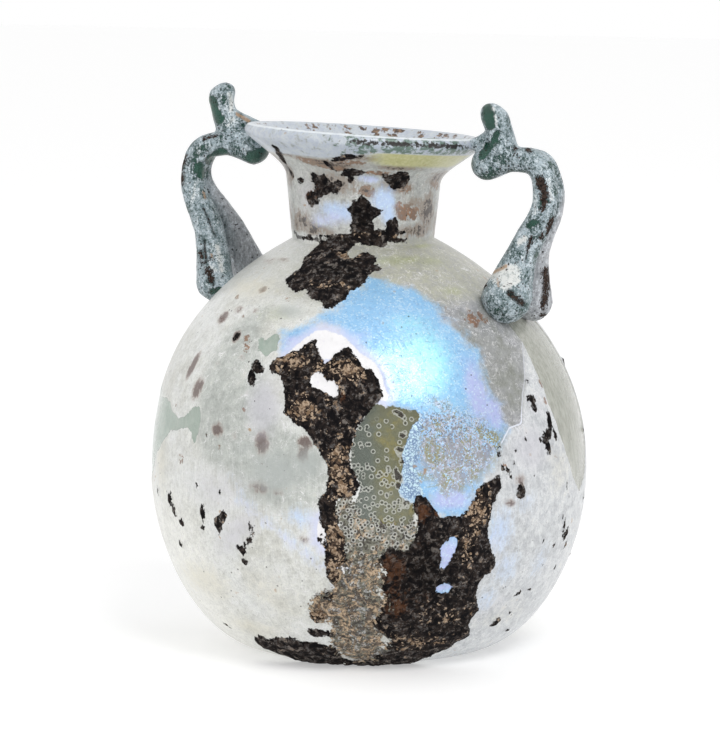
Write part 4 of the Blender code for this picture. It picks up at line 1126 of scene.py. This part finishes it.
crumbs = (coarse_chips * 0.6 + clods * 2.8 + medium * 2.4 + lower * 0.20).step(0.62, 0.72)
scab_colour = skin.blend(crumbs * 0.9, scab_colour, skin.blend(small_chips, CRUST_BLACK, CRUMB_BROWN))
scab_colour = skin.blend(rings * 0.75, scab_colour, SCALE_RING)
scab_colour = skin.blend(holes, scab_colour, PIT_BLACK)
scab_colour = skin.blend(scale_pits.step(0.26, 0.14) * (fine + 0.5).step(0.35, 0.5), scab_colour, SCALE_PIT)
painted = skin.blend(scab_mask, painted, scab_colour)

# The crust: black and charcoal, with angular chips of tan grit caught in it
dark = skin.blend((clods * 2.0 + 0.5).step(0.25, 0.85), CRUST_BLACK, CRUST_BROWN)
dark = skin.blend((small_chips * 0.5 + clods * 1.5).step(0.36, 0.58) * 0.85, dark, CRUST_GREY)
ashy = (coarse_chips * 0.5 + medium * 2.0 + clods * 1.5).step(0.46, 0.72)
dark = skin.blend(ashy * 0.75, dark, CRUST_ASH)
rusty = (skin.field("rust") * 0.8 + medium * 1.2 + clods * 1.5 + fine).step(0.3, 0.9)
dark = skin.blend(rusty * 0.85, dark, RUST_RED)
grit = skin.field("tan_grit") * 0.48 + medium * 0.9 + clods * 0.5 - skin.field("char") * 0.14
dark = skin.blend((grit * 1.6 + mottle * 1.6 + fine * 0.8).step(0.45, 1.0) * 0.8, dark, CRUST_UMBER)
tan_tone = skin.blend((small_chips + fine + mottle).step(0.2, 1.0), TAN, PALE_TAN)
dark = skin.blend((coarse_chips + grit).step(1.05, 1.15), dark, tan_tone)
dark = skin.blend((small_chips + grit * 0.9).step(1.06, 1.14), dark, tan_tone)
dark = skin.toned(dark, 1.0 - skin.field("char") * 0.45)

# Relief, gloss and the share of light that goes through
relief = crust_mask * (clods * 0.9 + small_chips * 0.15 + 0.5)
relief = relief + scab_mask * (fine * 0.5 + mottle * 0.5 + 0.1)
relief = relief + mottle * 0.06 + veins * 0.03 + (1.0 - bare_mask) * 0.14
normal = skin.bumped(relief, 0.5)
open_skin = 1.0 - crust_mask.largest(scab_mask)
rough = 0.36 + scab_mask * 0.3 - bare_mask * open_skin * 0.24 + mottle * 0.2
metal = film_share * open_skin * (1.0 - bare_mask) * (1.0 - chalk_mask) * 0.30
weathering = skin.node("BsdfPrincipled", {}, {
    "Base Color": painted, "Roughness": rough, "Metallic": metal, "Normal": normal,
    "Coat Weight": open_skin * 0.25, "Coat Roughness": 0.12, "IOR": 1.5}, "BSDF")
clear = skin.node("BsdfPrincipled", {}, {
    "Base Color": (0.80, 0.90, 0.80), "Roughness": 0.08, "IOR": 1.5, "Transmission Weight": 1.0,
    "Normal": normal}, "BSDF")
see_through = bare_mask * open_skin * 0.30
glassy = skin.node("MixShader", {}, {"Fac": see_through, 1: weathering, 2: clear})
earthy = skin.node("BsdfPrincipled", {}, {
    "Base Color": dark, "Roughness": 0.85, "Specular IOR Level": 0.06, "Normal": normal}, "BSDF")
skin.wear(flask, skin.node("MixShader", {}, {"Fac": crust_mask, 1: glassy, 2: earthy}))
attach(flask, "root")
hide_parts("vessel")


# Each handle is one gather of blue-green glass. It was pressed on the shoulder as a foot of
# two lobes, drawn up as two ribs that run together, bent over, tucked under the lip and
# drawn up past it to a finial. Here beads are strung along that path and melted together.
HANDLE_INSET = 4.0
ROD_RADIUS = 2.0
ANKLE_RADIUS = 2.5
TUCK_RADIUS = 2.7
SADDLE_RADIUS = 0.9
KNEE_SPREAD = 1.4
ANKLE_SPREAD = 2.5
LOBE_SPREAD = 4.0
LOBE_RISE = 2.8
HEEL_RADIUS = 2.7
HEEL_RISE = 1.0
ANKLE_SHARE = 0.33
KNEE_SHARE = 0.68
BEAD_SPACING = 0.5
MELT_VOXEL = 0.28
HANDLE_REACH = BODY_RADIUS - HANDLE_INSET
# Pairs are for the near rib and the far rib, and insets run inwards from the belly's radius
LEFT = {
    "side": -1, "lobe_insets": (9.2, 11.0), "lobe_radii": (3.1, 3.0), "heel_step": 1.0,
    "ankle_insets": (7.5, 8.6), "crest_drop": 3.7, "bend_drop": 1.2,
    "tuck_inset": -0.8, "tuck_drop": 4.4,
    "finial_rise": 5.9, "finial_lean": 1.4, "finial_curl": -0.8, "finial_radius": 2.1,
}
RIGHT = {
    "side": 1, "lobe_insets": (9.1, 8.0), "lobe_radii": (4.0, 3.1), "heel_step": 1.4,
    "ankle_insets": (7.3, 7.4), "crest_drop": 2.9, "bend_drop": 0.8,
    "tuck_inset": -2.5, "tuck_drop": 3.8,
    "finial_rise": 5.7, "finial_lean": -2.0, "finial_curl": -0.9, "finial_radius": 2.2,
}


def shoulder_height(radius):
    places = shoulder(200)[0][::-1]
    return np.interp(radius, places[:, 0], places[:, 1])


def strung(stations):
    """Beads on a smooth line through stations of (place, radius)."""
    beads = []
    padded = [stations[0]] + stations + [stations[-1]]
    for before, start, end, after in zip(padded, padded[1:], padded[2:], padded[3:]):
        count = max(1, round((end[0] - start[0]).length / BEAD_SPACING))
        for step in range(count):
            t = step / count
            place = start[0] + (end[0] - before[0]) * (t / 2)
            place += (2 * before[0] - 5 * start[0] + 4 * end[0] - after[0]) * (t**2 / 2)
            place += (3 * start[0] - before[0] - 3 * end[0] + after[0]) * (t**3 / 2)
            beads.append((place, start[1] + (end[1] - start[1]) * t))
    return beads + [stations[-1]]


def trailed(form):
    """The beads of one handle."""
    edge = form["side"] * LIP_RADIUS + NECK_SHIFT[0]
    lip_out, lip_top = abs(edge), FLASK_HEIGHT - LIP_DIP * edge
    lobes = [BODY_RADIUS - inset for inset in form["lobe_insets"]]
    ankles = [BODY_RADIUS - inset for inset in form["ankle_insets"]]
    foot = shoulder_height(sum(lobes) / 2) + LOBE_RISE
    crest_height = lip_top - form["crest_drop"]
    rise = crest_height - foot
    crest_out = lip_out + (HANDLE_REACH - lip_out) * 0.47
    finial, top = form["finial_radius"], lip_top + form["finial_rise"]
    finial_out = crest_out + form["finial_lean"]

    def at(out, across, up, radius):
        return Vector((form["side"] * out, across, up)), radius

    crest = at(crest_out, 0.0, crest_height, ROD_RADIUS)
    beads = []
    for across, lobe_out, lobe_radius, ankle_out in zip((-1, 1), lobes, form["lobe_radii"], ankles):
        heel_out = lobe_out - form["heel_step"]
        heel = at(heel_out, across * LOBE_SPREAD, shoulder_height(heel_out) + HEEL_RISE, HEEL_RADIUS)
        lobe = at(lobe_out, across * LOBE_SPREAD, shoulder_height(lobe_out) + LOBE_RISE, lobe_radius)
        beads += strung([heel, lobe])
        beads += strung([
            lobe,
            at(ankle_out, across * ANKLE_SPREAD, foot + rise * ANKLE_SHARE, ANKLE_RADIUS),
            at(HANDLE_REACH, across * KNEE_SPREAD, foot + rise * KNEE_SHARE, ROD_RADIUS),
            at(HANDLE_REACH - ROD_RADIUS * 0.65, across * KNEE_SPREAD * 0.6,
               crest_height - form["bend_drop"], ROD_RADIUS),
            crest,
        ])
    tuck = at(lip_out - form["tuck_inset"], 0.0, lip_top - form["tuck_drop"], TUCK_RADIUS)
    beads += strung([crest, tuck])
    middle = at(crest_out + form["finial_lean"] * 0.7, 0.0,
                lip_top + form["finial_rise"] * 0.22, finial * 0.95)
    beads += strung([
        at(crest_out - ROD_RADIUS * 0.3, 0.0, crest_height + ROD_RADIUS * 0.4, ROD_RADIUS * 1.2),
        middle,
        at(finial_out, 0.0, top - finial * 1.25, finial),
        at(finial_out + form["finial_curl"], 0.0, top - finial * 0.8, finial * 0.8),
    ])
    saddle = at(lip_out, 0.0, lip_top - SADDLE_RADIUS, SADDLE_RADIUS)
    return beads + strung([(middle[0], finial * 0.55), saddle])


def finish_with(thing, kind, **settings):
    """Adds a modifier and applies it at once."""
    modifier = thing.modifiers.new(kind, kind)
    for name, value in settings.items():
        setattr(modifier, name, value)
    bpy.ops.object.modifier_apply(modifier=modifier.name)


def melted(name, beads):
    bpy.ops.object.select_all(action="DESELECT")
    bpy.ops.mesh.primitive_plane_add(size=MM)
    handle = bpy.context.object
    handle.name = handle.data.name = name
    bpy.ops.object.mode_set(mode="EDIT")
    bpy.ops.mesh.delete(type="VERT")
    for place, radius in beads:
        bpy.ops.mesh.primitive_ico_sphere_add(subdivisions=2, radius=radius * MM, location=place * MM)
    bpy.ops.object.mode_set(mode="OBJECT")
    finish_with(handle, "REMESH", mode="VOXEL", voxel_size=MELT_VOXEL * MM)
    finish_with(handle, "SMOOTH", factor=0.5, iterations=14)
    return handle


def above_skin(places):
    """Height of each place above the flask's skin in millimetres, and the way out from it."""
    straight = places - lean_at(places)
    radii = np.hypot(straight[:, 0], straight[:, 1])
    nearest = nearest_station(radii, straight[:, 2], outside)
    out = outside_normals[nearest]
    offset = np.stack([radii, straight[:, 2]], axis=1) - outside[nearest]
    rays = straight[:, :2] / radii[:, None]
    return np.sum(offset * out, axis=1), np.column_stack([rays * out[:, :1], out[:, 1]])


def within_capsule(places, start, end, radius):
    """Distance inside a round-ended stroke from start to end, in millimetres."""
    start, end = np.array(start, dtype=float), np.array(end, dtype=float)
    line = end - start
    share = np.clip((places - start) @ line / max(line @ line, 1e-9), 0.0, 1.0)
    return radius - np.linalg.norm(places - start - share[:, None] * line, axis=1)


def wobble(places, size, octaves, seed=0.0):
    shift = Vector((seed, -seed, seed * 1.3))
    return np.array([noise.fractal(Vector(place) / size + shift, 1.0, 2.0, octaves) for place in places])


FUSED_DEPTH = 0.25
BOTTLE_GREEN = (0.030, 0.125, 0.085)
DEEP_GREEN = (0.012, 0.035, 0.030)
HANDLE_SLATE = (0.10, 0.15, 0.155)
HANDLE_GREY = (0.47, 0.56, 0.62)
HANDLE_WHITE = (0.82, 0.88, 0.92)
HANDLE_CHALK = (0.80, 0.80, 0.77)
HANDLE_RUST = (0.42, 0.23, 0.10)
PINHOLE_DARK = (0.03, 0.04, 0.04)
DENT_DARK = (0.014, 0.02, 0.018)
FAR_GREY = (0.28, 0.28, 0.30)
FAR_LILAC = (0.62, 0.62, 0.66)
DIRT_DARK = (0.018, 0.014, 0.013)
DIRT_BROWN = (0.085, 0.058, 0.046)

trail = Finish("handle_glass")
speckle = trail.cloud(0.32, 5.0, 0.7, warp=0.9) - 0.5
patchy = trail.cloud(1.7, 3.0, 0.6) - 0.5
drawn_out = trail.cloud(1.0, 4.0, 0.65, trail.stretched(2.2, 2.2, 0.45)) - 0.5
ragged_edge = trail.cloud(0.5, 4.0, 0.75, warp=1.0) - 0.5
crazing = trail.cells(0.55, "DISTANCE_TO_EDGE", where=trail.jostled(0.6, 0.5)).step(0.12, 0.02)
cover = trail.field("cover") + speckle * 1.5 + patchy * 1.1 + drawn_out * 0.8 + trail.field("far") * 0.3
cover_mask = cover.step(0.14, 0.46)
under = trail.blend((patchy * 2.0 + 0.4).step(0.1, 0.9), BOTTLE_GREEN, DEEP_GREEN)
frosting = trail.blend((speckle * 2.4 + patchy * 1.0 + 0.46).step(0.1, 0.85), HANDLE_SLATE, HANDLE_GREY)
far_tone = trail.blend((drawn_out * 2.0 + speckle + 0.5).step(0.1, 0.9), FAR_GREY, FAR_LILAC)
frosting = trail.blend(trail.field("far") * 0.85, frosting, far_tone)
# Along the pale strokes the frosting turns whiter and chalkier: pale weathering, and painted highlights where
# the strokes stand for them
white_share = (speckle * 1.8 + drawn_out * 1.3 + trail.field("pale") * 0.30).step(0.12, 0.36)
frosting = trail.blend(white_share * 0.9, frosting, HANDLE_WHITE)
frosting = trail.blend(crazing * (patchy + 0.5).step(0.4, 0.7) * 0.55, frosting, HANDLE_WHITE)
chalky = (trail.field("pale") + speckle * 1.4 + patchy).step(0.55, 1.1)
frosting = trail.blend(chalky * 0.85, frosting, HANDLE_CHALK)
frosting = trail.blend((trail.field("tint") + speckle * 2.0).step(0.4, 1.0) * 0.8, frosting, HANDLE_RUST)
pinholes = trail.cells(0.8, where=trail.jostled(0.6, 0.5)).step(0.26, 0.14) * (patchy + 0.5).step(0.35, 0.6)
frosting = trail.blend(pinholes * 0.85, frosting, PINHOLE_DARK)
# Painted shade and dirt darken the thumb-mark dent and the crease between the ribs, most in the dent
dent_dirt = trail.field("deep") + speckle * 2.6 + ragged_edge
frosting = trail.blend(dent_dirt.step(0.45, 1.0) * 0.95, frosting, DENT_DARK)
grime = (trail.field("grime") + ragged_edge * 3.4 + speckle * 1.2).step(-0.10, 0.12)
# Besides real grime, the dirt shader also lies over the dent's painted shade and over the pinholes
grime = grime.largest(dent_dirt.step(0.70, 1.05) * 0.92).largest(pinholes * 0.7)
handle_relief = cover_mask * 0.5 + grime * 0.8 + speckle * 0.5 + patchy * 0.4 - pinholes * 0.3
handle_normal = trail.bumped(handle_relief, 0.25)
frosted_shader = trail.node("BsdfPrincipled", {}, {
    "Base Color": trail.blend(cover_mask * 0.94, under, frosting),
    "Roughness": cover_mask * 0.22 + 0.16, "Specular IOR Level": 0.35,
    "Coat Weight": 0.12, "Coat Roughness": 0.08, "Normal": handle_normal}, "BSDF")
glass_shader = trail.node("BsdfPrincipled", {}, {
    "Base Color": (0.22, 0.62, 0.46), "Roughness": 0.05, "IOR": 1.5, "Transmission Weight": 1.0,
    "Normal": handle_normal}, "BSDF")
dirt_shader = trail.node("BsdfPrincipled", {}, {
    "Base Color": trail.blend((speckle + 0.5).step(0.4, 0.65), DIRT_DARK, DIRT_BROWN),
    "Roughness": 0.85, "Specular IOR Level": 0.1, "Normal": handle_normal}, "BSDF")
showing_glass = (1.0 - cover_mask) * 0.4
handle_mix = trail.node("MixShader", {}, {"Fac": showing_glass, 1: frosted_shader, 2: glass_shader})
handle_mix = trail.node("MixShader", {}, {"Fac": grime, 1: handle_mix, 2: dirt_shader})

# The main view stands in front, turned towards the right handle
VIEW_TURN = math.radians(25)
VIEW_DISTANCE = 600.0
VIEW_HEIGHT = 121.3
AIM_HEIGHT = 40.0
FOCAL_PIXELS = 3882
AIM_PIXEL = (369, 388)
eye = np.array((VIEW_DISTANCE * math.sin(VIEW_TURN), -VIEW_DISTANCE * math.cos(VIEW_TURN), VIEW_HEIGHT))


def seen_at(places):
    """Where the main view shows each place, across and down in its picture's own units."""
    ahead = np.array((0.0, 0.0, AIM_HEIGHT)) - eye
    ahead /= np.linalg.norm(ahead)
    right_hand = np.array((math.cos(VIEW_TURN), math.sin(VIEW_TURN), 0.0))
    offset = places - eye
    scale = FOCAL_PIXELS / (offset @ ahead)
    return np.stack([AIM_PIXEL[0] + offset @ right_hand * scale,
                     AIM_PIXEL[1] - offset @ np.cross(right_hand, ahead) * scale], axis=1)


# Strokes on the handles: start, end and radius as the main view shows them
HANDLE_STROKES = {
    "left_trail": {
        "clean": [
            ((212, 100), (213, 108), 4.2), ((213, 108), (219, 119), 4),
            ((252, 158), (268, 151), 5.4), ((209, 160), (222, 152), 3.4),
            ((199, 166), (201, 175), 3.2), ((212, 291), (220, 289), 2.6),
        ],
        # pale: pale weathering, with a painted glint on the rib near the foot
        "pale": [
            ((230, 94), (231, 110), 3.4), ((233, 119), (228, 125), 3),
            ((217, 246), (222, 270), 3.6), ((210, 267), (216, 270), 2),
            ((196, 182), (192, 200), 2.2),
        ],
        "grime": [
            ((181.5, 184), (182, 169), 1.5), ((182, 169), (187, 155), 1.4),
            ((204, 139), (216, 135), 1.5), ((209, 272), (211, 279), 3.2),
            ((202, 263), (201, 252), 1.2), ((207, 262), (210, 258), 1.2),
        ],
        "tint": [
            ((237, 114), (249, 121), 2.4), ((204, 192), (205, 198), 1.8),
            ((211, 254), (213, 258), 1.5),
        ],
        # Hollows pressed into the glass, which are also painted dark as shade and dirt
        "deep": [
            ((204, 208), (216, 236), 1.6), ((203, 240), (205, 262), 2.0),
            ((209, 276), (213, 284), 2.0),
        ],
    },
    "right_trail": {
        "clean": [
            ((488, 109), (491, 124), 5.2), ((482, 156), (489, 146), 3.4),
            ((497, 133), (494, 140), 2.5), ((526, 196), (524, 212), 2.4),
            ((534, 222), (529, 226), 2.6),
        ],
        "pale": [
            # pale: pale weathering. The strokes on the finial, on top of the near lobe and on the rib above
            # it are painted highlights
            ((493, 108), (497, 124), 2.4), ((498, 276), (513, 272), 9), ((504, 286), (516, 280), 6),
            ((526, 238), (519, 243), 3.6), ((538, 285), (540, 288), 2.2),
            ((549, 180), (552, 200), 1.8), ((536, 196), (535, 214), 1.6),
        ],
        "grime": [
            ((540, 179), (545, 196), 4.2), ((545, 196), (543.5, 208), 2.6),
            ((553, 219), (548, 232), 3.1), ((543, 234), (541, 237), 1.6),
            ((532, 237), (528, 248), 1.5), ((561.5, 185), (561, 203), 1.4),
            ((514, 149), (515.5, 147), 1.7), ((528, 149), (530, 151), 1.7),
            ((484, 278), (485, 286), 1.8),
        ],
        "far_grime": [
            ((546, 271), (546, 289), 3.3), ((546, 289), (543, 307), 3.0),
            ((540, 316), (545, 315), 2),
        ],
        "tint": [((494, 272), (506, 266), 2.2), ((497, 279), (499, 286), 1.6)],
        # Hollows pressed into the glass, which are also painted dark as shade and dirt
        "deep": [
            ((510, 292), (524, 304), 4.2), ((536, 270), (536, 284), 1.8),
            ((528, 252), (526, 262), 1.4),
        ],
    },
}


def stroke_distance(places, strokes):
    return np.maximum.reduce([within_capsule(places, *stroke) for stroke in strokes])


def stroked(places, strokes, softness):
    """0 to 1 over all the strokes, with soft edges."""
    return smoothstep(-softness, softness, stroke_distance(places, strokes))


for name, node, form in (("left_trail", "left_handle", LEFT), ("right_trail", "right_handle", RIGHT)):
    handle = melted(name, trailed(form))
    places = points_of(handle)
    height_above, way_out = above_skin(places)
    places += way_out * np.maximum(-FUSED_DEPTH - height_above, 0.0)[:, None]
    ripple = 0.10 * wobble(places, 3.2, 2) + 0.035 * wobble(places, 0.9, 2, 4.0)
    handle_normals = np.empty(3 * len(places), dtype=np.float32)
    handle.data.vertices.foreach_get("normal", handle_normals)
    strokes = HANDLE_STROKES[name]
    # The two ribs part along a crease, and a thumb-mark dents the near lobe
    crease = np.exp(-(places[:, 1] / 0.55) ** 2) * smoothstep(75.0, 70.0, places[:, 2])
    facing = np.sum(handle_normals.reshape(-1, 3) * (eye - places), axis=1) > 0
    near_rib = facing * smoothstep(0.6, 0.0, places[:, 1] - 3.0 * smoothstep(70.0, 74.0, places[:, 2]))
    shown_at = seen_at(places)
    dent = stroked(shown_at, strokes["deep"], 3.0) * near_rib
    ripple -= 0.42 * crease + 0.5 * dent
    places += handle_normals.reshape(-1, 3) * ripple[:, None]
    move_points(handle, places)
    bpy.ops.object.shade_smooth()
    upward = handle_normals.reshape(-1, 3)[:, 2]
    lower = smoothstep(74.0, 60.0, places[:, 2])
    cover_field = 0.42 + 0.16 * upward + 0.10 * lower + 0.12 * wobble(places, 5.0, 2, 8.0)
    clean = stroked(shown_at, strokes["clean"], 2.0) * near_rib
    # The pale strokes are partly painted highlights
    pale = stroked(shown_at, strokes["pale"], 4.0) * near_rib
    cover_field = cover_field + 0.06 - 0.75 * clean + 0.4 * pale
    grime_distance = np.where(near_rib > 0.5, stroke_distance(shown_at, strokes["grime"]) / 5, FAR)
    if "far_grime" in strokes:
        far_strip = stroke_distance(shown_at, strokes["far_grime"]) / 5
        grime_distance = np.where(facing & (places[:, 1] > 0.3), far_strip, grime_distance)
    behind = wobble(places, 2.4, 3, 11.0) - 0.75 - 0.5 * facing
    grime_distance = np.maximum(grime_distance, behind) + 0.25 * wobble(places, 1.2, 3, 6.0)
    grime_distance = np.maximum(grime_distance, FAR)
    far_rib = smoothstep(0.1, 1.0, places[:, 1]) * smoothstep(74.0, 69.0, places[:, 2])
    # The dent and the crease are stored with their painted shade
    store(handle, cover=cover_field, grime=grime_distance, pale=pale, far=far_rib,
          tint=stroked(shown_at, strokes["tint"], 2.5) * near_rib, deep=np.maximum(dent, 0.6 * crease))
    trail.wear(handle, handle_mix)
    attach(handle, "root")
    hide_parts(node)


# The studio: a pale floor and soft white light all round, with one large softbox at the
# upper right, which lays the broad highlight on the shoulder.
bpy.ops.object.select_all(action="DESELECT")
bpy.ops.mesh.primitive_plane_add(size=4.0)
floor = bpy.context.object
floor.name = "floor"
PAPER_TONE = (0.70, 0.70, 0.70)
PAPER_GLOW = 0.38
WHITE = (1.0, 1.0, 1.0)
paper = Finish("white_paper")
paper.wear(floor, paper.node("BsdfPrincipled", {}, {
    "Base Color": PAPER_TONE, "Roughness": 0.9, "Emission Color": WHITE,
    "Emission Strength": PAPER_GLOW}, "BSDF"))

# The room is brightest behind and to the left, and dim behind the camera and to the right
world = bpy.data.worlds.new("white_room")
world.use_nodes = True
room = world.node_tree
BRIGHT_SIDE = Vector((-0.62, 0.50, 0.60))
DIM_LIGHT = 0.36
BRIGHT_LIGHT = 0.95


def room_node(kind, **settings):
    made = room.nodes.new("ShaderNode" + kind)
    for name, value in settings.items():
        setattr(made, name, value)
    return made


way = room_node("TexCoord")
facing = room_node("VectorMath", operation="DOT_PRODUCT")
facing.inputs[1].default_value = BRIGHT_SIDE.normalized()
shade = room_node("MapRange")
shade.inputs["From Min"].default_value = -0.9
shade.inputs["From Max"].default_value = 0.7
shade.inputs["To Min"].default_value = DIM_LIGHT
shade.inputs["To Max"].default_value = BRIGHT_LIGHT
seen = room_node("LightPath")
shown = room_node("Mix")
shown.inputs["B"].default_value = 1.0
room.links.new(way.outputs["Generated"], facing.inputs[0])
room.links.new(facing.outputs["Value"], shade.inputs["Value"])
room.links.new(seen.outputs["Is Camera Ray"], shown.inputs["Factor"])
room.links.new(shade.outputs["Result"], shown.inputs["A"])
room.links.new(shown.outputs["Result"], room.nodes["Background"].inputs["Strength"])
room.nodes["Background"].inputs["Color"].default_value = (*WHITE, 1.0)
bpy.context.scene.world = world


def softbox(name, place, size, power):
    bpy.ops.object.light_add(type="AREA", location=place)
    lamp = bpy.context.object
    lamp.name = name
    lamp.data.shape = "DISK"
    lamp.data.size = size
    lamp.data.energy = power
    lamp.rotation_euler = (Vector((0.0, 0.0, 0.04)) - Vector(place)).to_track_quat("-Z", "Y").to_euler()
    lamp.visible_camera = False


softbox("softbox", (0.42, -0.35, 0.62), 0.35, 2.4)

SENSOR = 36.0
IMAGE_SIZE = (720, 733)
bpy.ops.object.camera_add(location=eye * MM)
camera = bpy.context.object
line_of_sight = Vector((0.0, 0.0, AIM_HEIGHT * MM)) - camera.location
camera.rotation_euler = line_of_sight.to_track_quat("-Z", "Y").to_euler()
camera.data.sensor_width = SENSOR
camera.data.lens = FOCAL_PIXELS / IMAGE_SIZE[1] * SENSOR
camera.data.shift_x = (IMAGE_SIZE[0] / 2 - AIM_PIXEL[0]) / IMAGE_SIZE[1]
camera.data.shift_y = (AIM_PIXEL[1] - IMAGE_SIZE[1] / 2) / IMAGE_SIZE[1]
bpy.context.scene.camera = camera
bpy.context.scene.view_settings.view_transform = "Standard"
